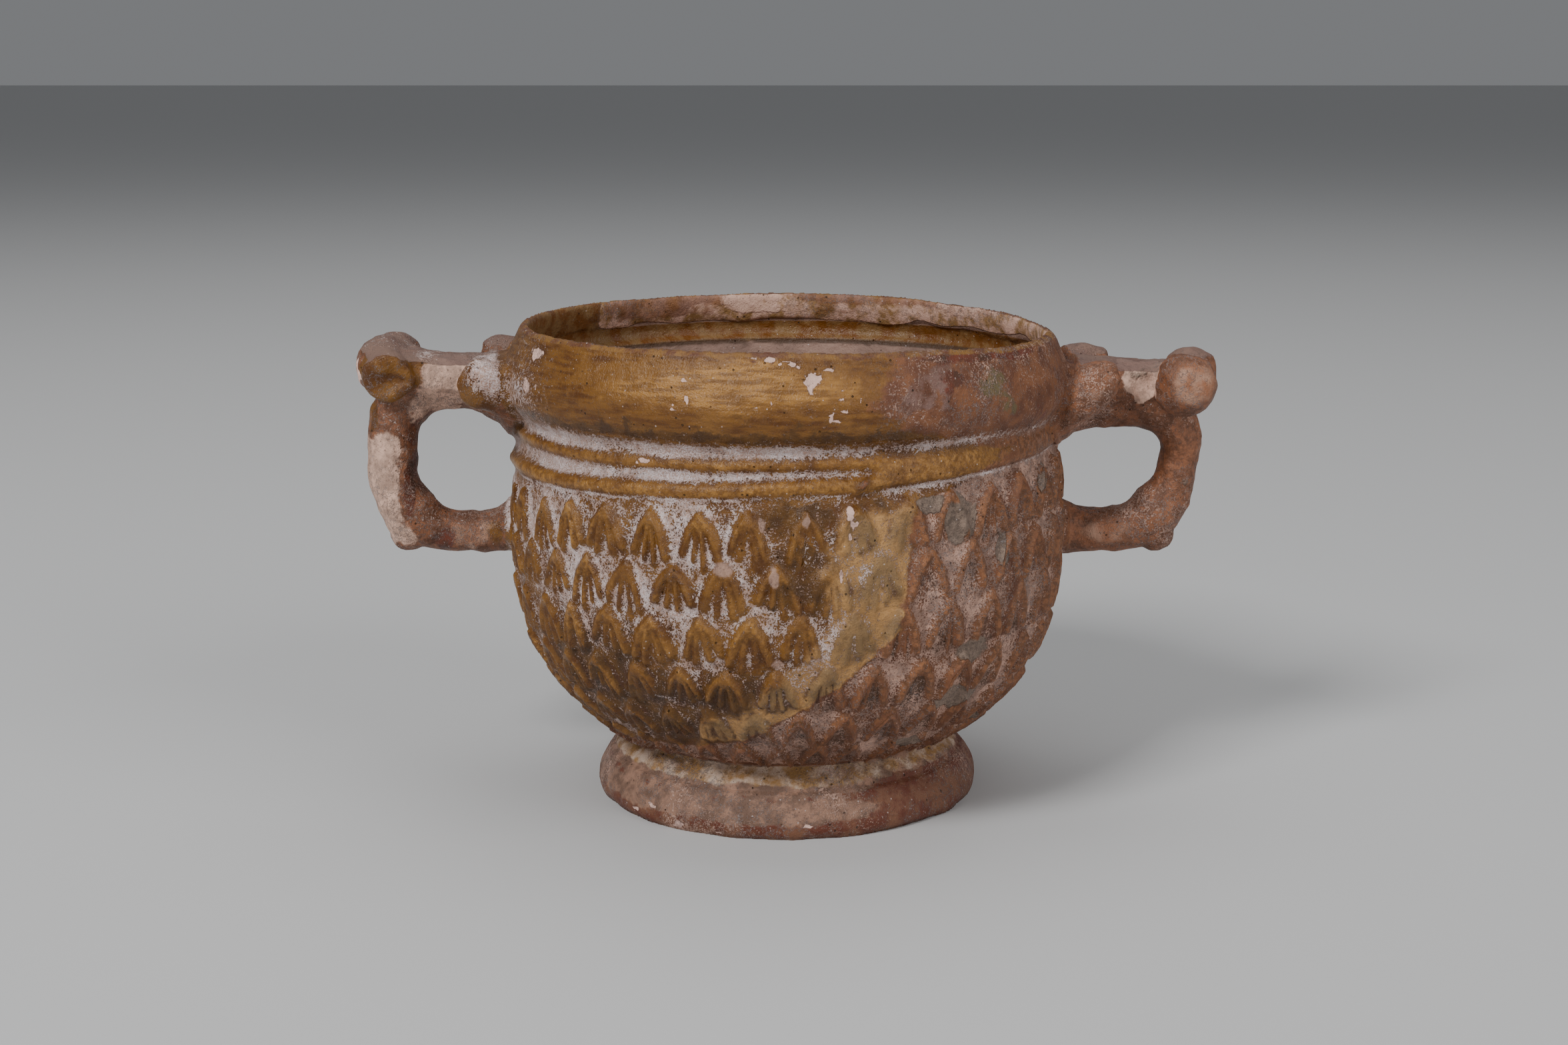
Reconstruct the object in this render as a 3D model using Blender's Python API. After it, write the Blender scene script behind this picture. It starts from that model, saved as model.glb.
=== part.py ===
"""Skyphos: a two-handled drinking cup of lead-glazed earthenware, with pine-cone scales in relief.

The bowl, the ring foot and both ring handles are one fired piece, so they are one closed solid.
Lengths are in millimetres and become metres at the end. +Z is up, the front is -Y, and the
handles stand out along -X (left) and +X (right). The origin is the middle of the resting plane.
"""

from collections import namedtuple
from math import cos, pi, radians, sin, sqrt

import bmesh
import bpy
from mathutils import Vector

MM = 0.001

# Bowl
CUP_HEIGHT = 87.4
BODY_RADIUS = 50.2
BODY_WIDEST_Z = 50.0
BODY_DROP = 45.5
BODY_FULLNESS = 2.45
SHOULDER_DRAW_IN = 0.0056
WALL = 3.4
FLOOR_Z = 15.0
FLOOR_FULLNESS = 3.4

# Rim band, as depths under the lip, and the two raised cordons, as depths under the band
BAND_DEPTH = 18.0
BULGE_DEPTH = 10.9
BAND_BULGE = 3.2
GROOVE_DRAW_IN = 1.9
LIP_DRAW_IN = 2.5
LIP_THICKNESS = 2.0
RIM_WALL = 2.6
LIP_LEAN = 0.006
LIP_SAG = 1.6
LEDGE_DEPTH = 9.1
LEDGE_STEP = 1.5
CORDON_DROP = 4.2
CORDON_HEIGHT = 2.0
CORDON_RELIEF = 1.1
UPPER_CORDON_DROP = 1.4
CORDON_TILT = 0.03

# Pine-cone scales, whose top is a depth under the band
SCALES_DROP = 6.0
SCALE_COUNT = 36
SCALE_ROWS = 6
SCALE_RELIEF = 1.0
SCALE_CLOSING = 1.15
SCALE_PHASE = radians(-2.1)

# Ring foot
FOOT_TOP_Z = 12.8
FOOT_NECK = 1.1
FOOT_RADIUS = 35.4
FOOT_EDGE_Z = 2.2
FOOT_LINE_Z = 8.4
FOOT_LINE_DEPTH = 0.4
REST_WIDTH = 4.5
RECESS_DEPTH = 8.2

# Handles. Reach and heel_out are measured outwards from BODY_RADIUS, and each drop down from the lip
LOOP_SECTION_SIDES = 10
WALL_BITE = 2.3
PLATE_BITE = 1.6
ROOT_HALF_WIDTH = 6.5
ROOT_FOOT_Z = 42.0
ROOT_BLEND = 4.0
PLATE_WAIST = 6.0
PLATE_END = 8.5
HORN_SPREAD = 9.6
ROLL_LENGTH = 23.0

Handle = namedtuple(
    "Handle",
    "side hole_drop hole_half_height hole_half_width strut_half strut_width bottom_half"
    " arm_half upper_web lower_web upper_roundness lower_roundness plate_drop plate_rise reach"
    " roll_middle roll_drop roll_end front_in front_drop back_in back_drop"
    " horn_length horn_half horn_drop horn_lift horn_rise heel_out heel_drop heel_half",
)
LEFT_HANDLE = Handle(
    side=-1,
    hole_drop=26.3,
    hole_half_height=9.5,
    hole_half_width=8.8,
    strut_half=4.7,
    strut_width=4.7,
    bottom_half=3.6,
    arm_half=4.6,
    upper_web=5.3,
    lower_web=4.5,
    upper_roundness=0.62,
    lower_roundness=0.8,
    plate_drop=6.4,
    plate_rise=1.6,
    reach=29.0,
    roll_middle=5.0,
    roll_drop=8.6,
    roll_end=4.4,
    front_in=2.6,
    front_drop=9.8,
    back_in=2.6,
    back_drop=7.8,
    horn_length=8.6,
    horn_half=3.8,
    horn_drop=9.5,
    horn_lift=1.1,
    horn_rise=0.8,
    heel_out=19.1,
    heel_drop=39.1,
    heel_half=3.9,
)
RIGHT_HANDLE = Handle(
    side=1,
    hole_drop=27.5,
    hole_half_height=7.6,
    hole_half_width=9.0,
    strut_half=3.7,
    strut_width=4.4,
    bottom_half=3.9,
    arm_half=5.4,
    upper_web=3.4,
    lower_web=3.2,
    upper_roundness=0.8,
    lower_roundness=1.05,
    plate_drop=7.4,
    plate_rise=1.0,
    reach=28.8,
    roll_middle=4.6,
    roll_drop=10.8,
    roll_end=5.2,
    front_in=2.2,
    front_drop=10.8,
    back_in=-1.4,
    back_drop=10.8,
    horn_length=11.4,
    horn_half=3.2,
    horn_drop=9.9,
    horn_lift=0.9,
    horn_rise=3.4,
    heel_out=17.8,
    heel_drop=39.8,
    heel_half=3.6,
)

SHARP_ANGLE = radians(50)

GLAZE_COLOUR = (0.33, 0.19, 0.075, 1.0)
GLAZE_ROUGHNESS = 0.45

# Places across a scale, as shares of its side, and the relief there as shares of SCALE_RELIEF.
# A scale is a rhombus that hangs from its top corner, and its edges lie on the ground of the bowl.
SCALE_STEPS = (0.0, 0.15, 0.8, 1.0)
SCALE_HEIGHTS = (
    (0.0, 0.0, 0.0, 0.0),
    (0.0, 1.0, 0.8, 0.0),
    (0.0, 0.8, 0.2, 0.0),
    (0.0, 0.0, 0.0, 0.0),
)
SCALE_SIDES = len(SCALE_STEPS) - 1

# The thumb plate, as shares: along it, from its waist to its full width, and of its rise
PLATE_COURSE = (
    (0.0, 1.0, 0.0),
    (0.3, 0.25, 0.0),
    (0.5, 0.0, 0.3),
    (0.75, 0.5, 0.9),
    (1.0, 1.0, 1.0),
)

UP = Vector((0, 0, 1))
ACROSS = Vector((0, 1, 0))
RIGHTWARDS = Vector((1, 0, 0))

GROOVE_RADIUS = BODY_RADIUS - GROOVE_DRAW_IN
LIP_RADIUS = BODY_RADIUS - LIP_DRAW_IN
LEDGE_Z = CUP_HEIGHT - LEDGE_DEPTH
BAND_BULGE_Z = CUP_HEIGHT - BULGE_DEPTH
BAND_FOOT_Z = CUP_HEIGHT - BAND_DEPTH
UPPER_CORDON_Z = BAND_FOOT_Z - UPPER_CORDON_DROP
CORDON_Z = BAND_FOOT_Z - CORDON_DROP
SCALES_TOP_Z = BAND_FOOT_Z - SCALES_DROP


def clear_scene():
    for obj in list(bpy.data.objects):
        bpy.data.objects.remove(obj)


def body_radius(z):
    """Radius of the bowl's outer ground at height z, without the scales."""
    drop = BODY_WIDEST_Z - z
    if drop <= 0.0:
        return BODY_RADIUS - SHOULDER_DRAW_IN * drop * drop
    return BODY_RADIUS * sqrt(max(0.0, 1.0 - (drop / BODY_DROP) ** BODY_FULLNESS))


def scale_zone_curve():
    """Arc length, radius and height of points down the bowl, from the top of the scales to the foot."""
    steps = 400
    curve = []
    length = 0.0
    for i in range(steps + 1):
        z = SCALES_TOP_Z + (FOOT_TOP_Z - SCALES_TOP_Z) * i / steps
        radius = body_radius(z)
        if curve:
            length += sqrt((radius - curve[-1][1]) ** 2 + (z - curve[-1][2]) ** 2)
        curve.append((length, radius, z))
    return curve


def point_at(curve, length):
    """Radius, height and outward normal of the bowl at an arc length below the top of the scales."""
    for (l0, r0, z0), (l1, r1, z1) in zip(curve, curve[1:]):
        if length <= l1:
            break
    share = min(1.0, (length - l0) / (l1 - l0))
    along = Vector((r1 - r0, z1 - z0)).normalized()
    return r0 + (r1 - r0) * share, z0 + (z1 - z0) * share, Vector((-along.y, along.x))


def on_cup(angle, radius, z):
    """A point of the cup in millimetres. The angle runs from the front to the right."""
    return Vector((radius * sin(angle), -radius * cos(angle), z))


def ring(bm, radius, z, tilt=0.0, sag=0.0, shift=0.0):
    """One turned ring of vertices. A tilt lifts its right side, and a sag drops it and lifts the back."""
    verts = []
    for i in range(SCALE_COUNT):
        place = on_cup(SCALE_PHASE + 2 * pi * (i + shift) / SCALE_COUNT, radius, z)
        drop = LIP_SAG * max(0.0, place.x / radius) ** 2 - LIP_LEAN * place.y
        place.z += tilt * place.x - sag * drop
        verts.append(bm.verts.new(place))
    return verts


def join_rings(bm, lower, upper):
    """Faces between two rings of equal count, facing away from the axis when the first is lower."""
    count = len(lower)
    for i in range(count):
        j = (i + 1) % count
        bm.faces.new((lower[i], lower[j], upper[j], upper[i]))


def join_fine_ring(bm, fine, coarse, fine_is_lower):
    """Faces between a ring with SCALE_SIDES places to a scale and a ring with one at its middle."""
    for i, near in enumerate(coarse):
        far = coarse[(i + 1) % len(coarse)]
        row = [fine[(i * SCALE_SIDES + k) % len(fine)] for k in range(SCALE_SIDES + 1)]
        faces = [(row[k], row[k + 1], near) for k in range(SCALE_SIDES)]
        faces.append((row[-1], far, near))
        for face in faces:
            bm.faces.new(face if fine_is_lower else face[::-1])


def root_fade(place):
    """0 where a handle is luted on to the bowl, rising to 1 away from it."""
    away = max(abs(place.y) - ROOT_HALF_WIDTH, ROOT_FOOT_Z - place.z)
    return min(1.0, max(0.0, away / ROOT_BLEND))


def scale_zone(bm):
    """The band of scales, whose rows close up towards the foot. Returns its top and bottom rings."""
    curve = scale_zone_curve()
    zone_length = curve[-1][0]
    pitch = 2 * pi / SCALE_COUNT
    grid = {}

    def vertex(row, column, i, j):
        """The vertex at step i down the left side and step j down the right side of one scale."""
        turns = column + ((row + 1) % 2 + SCALE_STEPS[j] - SCALE_STEPS[i]) / 2
        down = row + SCALE_STEPS[i] + SCALE_STEPS[j]
        key = (round(turns % SCALE_COUNT, 4) % SCALE_COUNT, round(down, 4))
        if key not in grid:
            left_over = max(0.0, 1.0 - down / (SCALE_ROWS + 1))
            radius, z, normal = point_at(curve, zone_length * (1.0 - left_over**SCALE_CLOSING))
            angle = SCALE_PHASE + pitch * turns
            height = SCALE_RELIEF * SCALE_HEIGHTS[i][j] if 0 <= row < SCALE_ROWS else 0.0
            height *= root_fade(on_cup(angle, radius, z))
            place = on_cup(angle, radius + height * normal.x, z + height * normal.y)
            place.z += CORDON_TILT * place.x * max(0.0, 1.0 - down / SCALE_ROWS)
            grid[key] = bm.verts.new(place)
        return grid[key]

    for row in range(-1, SCALE_ROWS + 1):
        for column in range(SCALE_COUNT):
            for i in range(SCALE_SIDES):
                for j in range(SCALE_SIDES):
                    corners = [(i, j), (i + 1, j), (i + 1, j + 1), (i, j + 1)]
                    if row < 0:
                        corners = [c for c in corners if sum(c) >= SCALE_SIDES]
                    if row == SCALE_ROWS:
                        corners = [c for c in corners if sum(c) <= SCALE_SIDES]
                    if len(corners) > 2:
                        bm.faces.new([vertex(row, column, *c) for c in corners])

    def across(row):
        """The vertices from the left to the right corner of every half scale in a row."""
        return [
            vertex(row, column, SCALE_SIDES - step, step)
            for column in range(SCALE_COUNT)
            for step in range(SCALE_SIDES)
        ]

    return across(-1), across(SCALE_ROWS)


def upper_rings():
    """The outside from the lower cordon to the lip, as (radius, height, tilt, share of the lip's sag)."""
    cordon_ground = body_radius(CORDON_Z) - 0.4
    half = CORDON_HEIGHT / 2
    crest = cordon_ground + CORDON_RELIEF
    bulge = GROOVE_RADIUS + BAND_BULGE
    lip_edge = LIP_RADIUS + LIP_THICKNESS / 2
    return (
        (cordon_ground, CORDON_Z - half - 0.2, CORDON_TILT, 0.0),
        (crest, CORDON_Z - half / 2, CORDON_TILT, 0.0),
        (crest, CORDON_Z + half / 2, CORDON_TILT, 0.0),
        (GROOVE_RADIUS + 0.4, (CORDON_Z + UPPER_CORDON_Z) / 2, 0.6 * CORDON_TILT, 0.0),
        (GROOVE_RADIUS + CORDON_RELIEF + 0.3, UPPER_CORDON_Z - 0.5, 0.1 * CORDON_TILT, 0.0),
        (GROOVE_RADIUS + CORDON_RELIEF, UPPER_CORDON_Z + 0.4, 0.0, 0.0),
        (GROOVE_RADIUS, BAND_FOOT_Z, 0.0, 0.0),
        (GROOVE_RADIUS + BAND_BULGE / 2, BAND_FOOT_Z + 2.0, 0.0, 0.0),
        (bulge, BAND_BULGE_Z - 1.5, 0.0, 0.2),
        (bulge, BAND_BULGE_Z + 2.0, 0.0, 0.5),
        (LIP_RADIUS + 2.2, CUP_HEIGHT - 4.2, 0.0, 0.9),
        (lip_edge, CUP_HEIGHT - 1.0, 0.0, 1.0),
        (LIP_RADIUS, CUP_HEIGHT, 0.0, 1.0),
    )


def inner_rings():
    """The inside from the lip down to the floor, as (radius, height, tilt, share of the lip's sag)."""
    bulge = GROOVE_RADIUS + BAND_BULGE
    ledge_radius = bulge - RIM_WALL - LEDGE_STEP
    bowl_inside = BODY_RADIUS - WALL
    rings = [
        (LIP_RADIUS - LIP_THICKNESS / 2, CUP_HEIGHT - 0.8, 0.0, 1.0),
        (LIP_RADIUS + 2.8 - RIM_WALL, CUP_HEIGHT - 4.2, 0.0, 0.9),
        (bulge - RIM_WALL, LEDGE_Z + 1.6, 0.0, 0.5),
        (ledge_radius, LEDGE_Z, 0.0, 0.4),
        (ledge_radius - 0.6, LEDGE_Z - 2.5, 0.0, 0.2),
        (GROOVE_RADIUS - WALL + 1.0, BAND_FOOT_Z - 0.5, 0.0, 0.0),
    ]
    for degrees in (-16, 8, 26, 42, 56, 68, 79):
        depth = sin(radians(degrees))
        flare = 1.0 - max(0.0, depth) ** FLOOR_FULLNESS
        z = BODY_WIDEST_Z - (BODY_WIDEST_Z - FLOOR_Z) * depth
        rings.append((bowl_inside * sqrt(flare), z, 0.0, 0.0))
    return rings


def foot_rings():
    """The outside of the foot, from the resting plane up to the bowl, as (radius, height)."""
    return (
        (FOOT_RADIUS - 1.0, 0.0),
        (FOOT_RADIUS - 0.2, 0.4 * FOOT_EDGE_Z),
        (FOOT_RADIUS, FOOT_EDGE_Z),
        (FOOT_RADIUS - 1.7, FOOT_LINE_Z - 2.0),
        (FOOT_RADIUS - 3.1, FOOT_LINE_Z + 0.3),
        (FOOT_RADIUS - 3.3 - FOOT_LINE_DEPTH, FOOT_LINE_Z + 0.6),
        (FOOT_RADIUS - 4.2, FOOT_LINE_Z + 1.6),
        (body_radius(FOOT_TOP_Z) - FOOT_NECK, FOOT_TOP_Z - 0.6),
    )


def recess_rings():
    """The hollow under the foot, from the resting ring to the middle, as (radius, height)."""
    rest_inner = FOOT_RADIUS - 1.0 - REST_WIDTH
    return (
        (rest_inner, 0.0),
        (rest_inner - 1.2, 1.0),
        (rest_inner - 4.5, RECESS_DEPTH - 2.4),
        (rest_inner * 0.5, RECESS_DEPTH - 0.6),
    )


def cup_mesh():
    """Bowl, rim and foot as one closed turned body, with the scales set into its wall."""
    bm = bmesh.new()
    scales_top, scales_bottom = scale_zone(bm)

    upper = [ring(bm, *values) for values in upper_rings()]
    join_fine_ring(bm, scales_top, upper[0], fine_is_lower=True)
    outside_in = upper + [ring(bm, *values) for values in inner_rings()]
    for lower, higher in zip(outside_in, outside_in[1:]):
        join_rings(bm, lower, higher)
    floor_middle = bm.verts.new((0.0, 0.0, FLOOR_Z))
    cap(bm, outside_in[-1], floor_middle, flip=True)

    shift = (SCALE_ROWS + 1) % 2 / 2
    foot = [ring(bm, *values, shift=shift) for values in foot_rings()]
    for lower, higher in zip(foot, foot[1:]):
        join_rings(bm, lower, higher)
    join_fine_ring(bm, scales_bottom, foot[-1], fine_is_lower=False)
    recess = [ring(bm, *values, shift=shift) for values in recess_rings()]
    under = recess[::-1] + [foot[0]]
    for inner, outer in zip(under, under[1:]):
        join_rings(bm, inner, outer)
    recess_middle = bm.verts.new((0.0, 0.0, RECESS_DEPTH))
    cap(bm, recess[-1], recess_middle, flip=False)
    return bm


def cap(bm, around, middle, flip):
    """A fan of faces from a ring to a middle vertex."""
    for i, near in enumerate(around):
        far = around[(i + 1) % len(around)]
        bm.faces.new((near, far, middle) if flip else (far, near, middle))


def make_object(name, bm):
    """Turns a mesh in millimetres into an object in metres, in triangles that all face out."""
    bmesh.ops.triangulate(bm, faces=bm.faces)
    bmesh.ops.recalc_face_normals(bm, faces=bm.faces)
    bmesh.ops.scale(bm, vec=(MM, MM, MM), verts=bm.verts)
    mesh = bpy.data.meshes.new(name)
    bm.to_mesh(mesh)
    bm.free()
    mesh.shade_smooth()
    mesh.set_sharp_from_angle(angle=SHARP_ANGLE)
    obj = bpy.data.objects.new(name, mesh)
    bpy.context.scene.collection.objects.link(obj)
    return obj


def loft(name, stations, sides):
    """A closed body through oval sections. A station is its centre, two axes and the half sizes along them."""
    bm = bmesh.new()
    rings = []
    for centre, first, second, half_first, half_second in stations:
        verts = []
        for k in range(sides):
            angle = 2 * pi * (k + 0.5) / sides
            offset = Vector(first) * (half_first * cos(angle))
            offset += Vector(second) * (half_second * sin(angle))
            verts.append(bm.verts.new(Vector(centre) + offset))
        rings.append(verts)
    for near, far in zip(rings, rings[1:]):
        join_rings(bm, near, far)
    bm.faces.new(rings[0])
    bm.faces.new(rings[-1])
    return make_object(name, bm)


def loop_handle(name, handle):
    """The ring that a finger goes through: an arm out, the strut down and an arm back into the wall."""
    wall_x = BODY_RADIUS - WALL_BITE
    middle_x = BODY_RADIUS + handle.hole_half_width
    half_x = handle.hole_half_width + handle.strut_half
    hole_z = CUP_HEIGHT - handle.hole_drop
    top_z = hole_z + handle.hole_half_height + handle.arm_half
    bottom_z = hole_z - handle.hole_half_height - handle.bottom_half

    def station(x, z, normal, half):
        return Vector((handle.side * x, 0, z)), normal, ACROSS, half, handle.strut_width

    stations = []
    for x, share in ((wall_x, 1.2), (BODY_RADIUS + 2.0, 0.5), (BODY_RADIUS + 4.6, 0.2)):
        web = handle.upper_web * share / 2
        stations.append(station(x, top_z - web, UP, handle.arm_half + web))
    for degrees in range(80, -81, -20):
        angle = radians(degrees)
        roundness = handle.upper_roundness if degrees > 0 else handle.lower_roundness
        half_z = (top_z if degrees > 0 else bottom_z) - hole_z
        x = middle_x + half_x * cos(angle) ** roundness
        z = hole_z + half_z * abs(sin(angle)) ** roundness
        ends = handle.arm_half if degrees > 0 else handle.bottom_half
        half = handle.strut_half + (ends - handle.strut_half) * abs(sin(angle))
        normal = Vector((handle.side * cos(angle), 0, sin(angle)))
        stations.append(station(x, z, normal, half))
    for x, share in ((BODY_RADIUS + 4.6, 0.1), (BODY_RADIUS + 2.0, 0.5), (wall_x, 1.3)):
        web = handle.lower_web * share / 2
        stations.append(station(x, bottom_z + web, -UP, handle.bottom_half + web))
    return loft(name, stations, LOOP_SECTION_SIDES)


def thumb_plate(name, handle):
    """The flat rest on top of the loop: wide at the wall, narrow at its waist and wide at the roll."""
    start_x = GROOVE_RADIUS + BAND_BULGE
    roll_x = BODY_RADIUS + handle.reach - handle.roll_middle
    bottom_z = CUP_HEIGHT - handle.hole_drop + handle.hole_half_height + 2.0
    top_z = CUP_HEIGHT - handle.plate_drop
    middle_z = (top_z + bottom_z) / 2
    half_z = (top_z - bottom_z) / 2
    stations = []
    for share, widening, rise in PLATE_COURSE:
        x = start_x + (roll_x - start_x) * share - (0.0 if share else PLATE_BITE)
        half_width = PLATE_WAIST + (PLATE_END - PLATE_WAIST) * widening
        centre = Vector((handle.side * x, 0, middle_z + handle.plate_rise * rise))
        stations.append((centre, UP, ACROSS, half_z * 1.08, half_width * 1.08))
    return loft(name, stations, 8)


def outer_roll(name, handle):
    """The scroll across the end of the thumb plate, with a round end at the front and at the back."""
    reach_x = BODY_RADIUS + handle.reach
    middle_x = reach_x - handle.roll_middle
    front_x = reach_x - handle.roll_end - handle.front_in
    back_x = reach_x - handle.roll_end - handle.back_in
    front_z = CUP_HEIGHT - handle.front_drop
    back_z = CUP_HEIGHT - handle.back_drop
    end_y = ROLL_LENGTH / 2 - handle.roll_end
    stations = []
    for share, size in ((-1.0, 0.4), (-0.85, 0.75), (-0.5, 0.96), (0.0, 1.0)):
        centre = Vector((handle.side * front_x, -end_y + handle.roll_end * share, front_z))
        stations.append((centre, RIGHTWARDS, UP, handle.roll_end * size, handle.roll_end * size))
    centre = Vector((handle.side * middle_x, 0, CUP_HEIGHT - handle.roll_drop))
    stations.append((centre, RIGHTWARDS, UP, handle.roll_middle, handle.roll_middle * 0.9))
    for share, size in ((0.0, 1.0), (0.5, 0.96), (0.85, 0.75), (1.0, 0.4)):
        centre = Vector((handle.side * back_x, end_y + handle.roll_end * share, back_z))
        stations.append((centre, RIGHTWARDS, UP, handle.roll_end * size, handle.roll_end * size))
    return loft(name, stations, 10)


def horn(name, handle, end):
    """A blunt horn at a corner of the plate, growing out of the rim band at the front or the back."""
    bulge = GROOVE_RADIUS + BAND_BULGE
    start_x = sqrt(bulge * bulge - HORN_SPREAD * HORN_SPREAD) - PLATE_BITE
    tip_z = CUP_HEIGHT - handle.horn_drop + handle.horn_lift * (1 + end) / 2
    stations = []
    for share, size in ((0.0, 1.15), (0.45, 1.05), (0.8, 0.85), (1.0, 0.45)):
        x = start_x + (handle.horn_length + PLATE_BITE) * share
        z = tip_z - handle.horn_rise * (1.0 - share)
        centre = Vector((handle.side * x, end * HORN_SPREAD, z))
        half = handle.horn_half * size
        stations.append((centre, UP, ACROSS, half, half * 0.95))
    return loft(name, stations, 8)


def heel(name, handle):
    """The small round heel under the outer corner of the loop."""
    bm = bmesh.new()
    bmesh.ops.create_icosphere(bm, subdivisions=2, radius=handle.heel_half)
    heel_x = BODY_RADIUS + handle.heel_out
    heel_z = CUP_HEIGHT - handle.heel_drop
    bmesh.ops.translate(bm, vec=(handle.side * heel_x, 0, heel_z), verts=bm.verts)
    return make_object(name, bm)


def handle_pieces(prefix, handle):
    """Every body that makes up one handle. All of them meet inside each other."""
    return [
        loop_handle(prefix + "_loop", handle),
        thumb_plate(prefix + "_plate", handle),
        outer_roll(prefix + "_roll", handle),
        horn(prefix + "_front_horn", handle, -1),
        horn(prefix + "_back_horn", handle, 1),
        heel(prefix + "_heel", handle),
    ]


def fuse(base, pieces):
    """Joins every piece to the base as one body, and hides the pieces."""
    luted = bpy.data.collections.new("luted_pieces")
    for piece in pieces:
        luted.objects.link(piece)
        piece.hide_render = True
        piece.display_type = "WIRE"
    modifier = base.modifiers.new("join_pieces", "BOOLEAN")
    modifier.operation = "UNION"
    modifier.solver = "EXACT"
    modifier.operand_type = "COLLECTION"
    modifier.collection = luted


def glazed_clay():
    material = bpy.data.materials.new("glazed_clay")
    material.use_nodes = True
    shader = material.node_tree.nodes["Principled BSDF"]
    shader.inputs["Base Color"].default_value = GLAZE_COLOUR
    shader.inputs["Roughness"].default_value = GLAZE_ROUGHNESS
    shader.inputs["Metallic"].default_value = 0.0
    return material


def main():
    clear_scene()
    skyphos = make_object("skyphos", cup_mesh())
    skyphos.data.materials.append(glazed_clay())
    fuse(skyphos, handle_pieces("left", LEFT_HANDLE) + handle_pieces("right", RIGHT_HANDLE))


main()
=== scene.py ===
"""Skyphos: a two-handled cup of lead-glazed earthenware with pine-cone scales in relief.

The bowl, the foot and both handles were fired as one, so they are one piece, `fired_cup`. It is
turned and luted together as a blank, then its relief is pressed, and last it gets its glaze and
weathering. Lengths in the code are millimetres: MM turns them into metres.
"""

from math import pi, radians
from types import SimpleNamespace

import bmesh
import bpy
import numpy as np
from bpy.props import FloatProperty, FloatVectorProperty, IntProperty, PointerProperty
from bpy.types import Operator, Panel, PropertyGroup
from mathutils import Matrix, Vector


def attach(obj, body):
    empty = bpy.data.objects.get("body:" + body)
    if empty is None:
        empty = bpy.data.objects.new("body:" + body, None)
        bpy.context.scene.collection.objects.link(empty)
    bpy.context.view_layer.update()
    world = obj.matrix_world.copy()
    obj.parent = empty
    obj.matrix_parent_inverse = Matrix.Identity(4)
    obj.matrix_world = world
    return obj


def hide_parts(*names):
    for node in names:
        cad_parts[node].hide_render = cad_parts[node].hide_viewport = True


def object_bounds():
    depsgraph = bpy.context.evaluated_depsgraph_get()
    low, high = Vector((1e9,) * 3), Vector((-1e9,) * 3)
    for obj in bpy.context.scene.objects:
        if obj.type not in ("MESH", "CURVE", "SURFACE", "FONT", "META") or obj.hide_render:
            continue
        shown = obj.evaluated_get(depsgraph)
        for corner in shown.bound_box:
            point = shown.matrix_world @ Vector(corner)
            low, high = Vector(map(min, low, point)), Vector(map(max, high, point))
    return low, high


bl_info = {
    "name": "Pine-cone skyphos",
    "version": (1, 0, 0),
    "blender": (4, 5, 0),
    "location": "3D View > Sidebar > Skyphos",
    "description": "Builds a lead-glazed two-handled drinking cup with pine-cone scales in relief",
    "category": "Add Mesh",
}

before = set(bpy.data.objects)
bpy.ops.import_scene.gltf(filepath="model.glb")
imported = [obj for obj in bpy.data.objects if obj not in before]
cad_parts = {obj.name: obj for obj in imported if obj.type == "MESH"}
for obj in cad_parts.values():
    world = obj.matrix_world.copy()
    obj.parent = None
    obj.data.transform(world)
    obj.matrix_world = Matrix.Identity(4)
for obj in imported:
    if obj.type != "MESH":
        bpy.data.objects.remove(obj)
CAD_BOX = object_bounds()

MM = 0.001

# The blank's grain, how often its seams are smeared, the most faces it may keep, and the steps of one turn
VOXEL = 0.39
JOINT_SMOOTHING = 9
FACE_LIMIT = 192000
TURN_STEPS = 240

# The cup's outer ground as (height, radius), without cordons and scales
FOOT_SIDE = (
    (0.0, 34.2), (0.7, 35.1), (2.2, 35.4), (4.2, 35.0), (6.3, 33.9), (8.2, 32.6), (9.6, 31.3), (11.2, 29.9),
    (12.1, 29.6),
)
NECK = ((62.0, 49.4), (66.0, 48.6), (69.0, 48.1), (70.6, 48.2))
BAND = ((72.2, 49.5), (74.4, 51.0), (76.8, 51.45), (79.6, 51.3), (82.4, 50.3), (84.8, 49.2), (86.5, 48.5))
# The resting ring and the hollow under the foot as (radius, height)
UNDERSIDE = (
    (34.2, 0.0), (32.0, 0.0), (29.8, 0.0), (28.7, 1.0), (27.4, 3.2), (25.4, 5.8), (21.0, 7.2), (14.0, 7.7),
    (6.0, 8.0), (0.0, 8.1),
)
# The inside, from the lip to the bowl, as (radius, height)
RIM_INSIDE = (
    (46.9, 86.7), (46.9, 85.0), (47.7, 82.8), (48.6, 80.3), (48.3, 79.2), (47.3, 78.3), (46.9, 76.5),
    (46.4, 72.5), (46.2, 68.5), (46.5, 60.0),
)

# The heights of the scales' tips, row by row, and the ribs of one scale as (sideways, below the tip)
ROW_TIPS = (61.6, 53.0, 44.0, 34.4, 25.8, 18.6)
OUTER_RIB = ((0.0, 0.7), (1.8, 3.1), (3.1, 7.0))
INNER_RIB = ((0.3, 2.0), (0.75, 4.6), (1.15, 8.2))
WORN_RIB = ((0.0, 0.4), (2.0, 3.6), (3.1, 7.6))
NOMINAL_PITCH = 8.76
NOMINAL_STEP = 8.8

# Where the matt side starts, as (height, sideways)
MATT_EDGE = (
    (12, -60), (14.5, -40), (16.5, -18), (19, -9), (20.7, -5.8), (32, 9.9), (41, 19), (62, 21.4), (65, 31),
    (69, 36), (72, 28), (74, 21), (78, 13.5), (84, 17.2), (90, 17.2),
)
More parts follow.
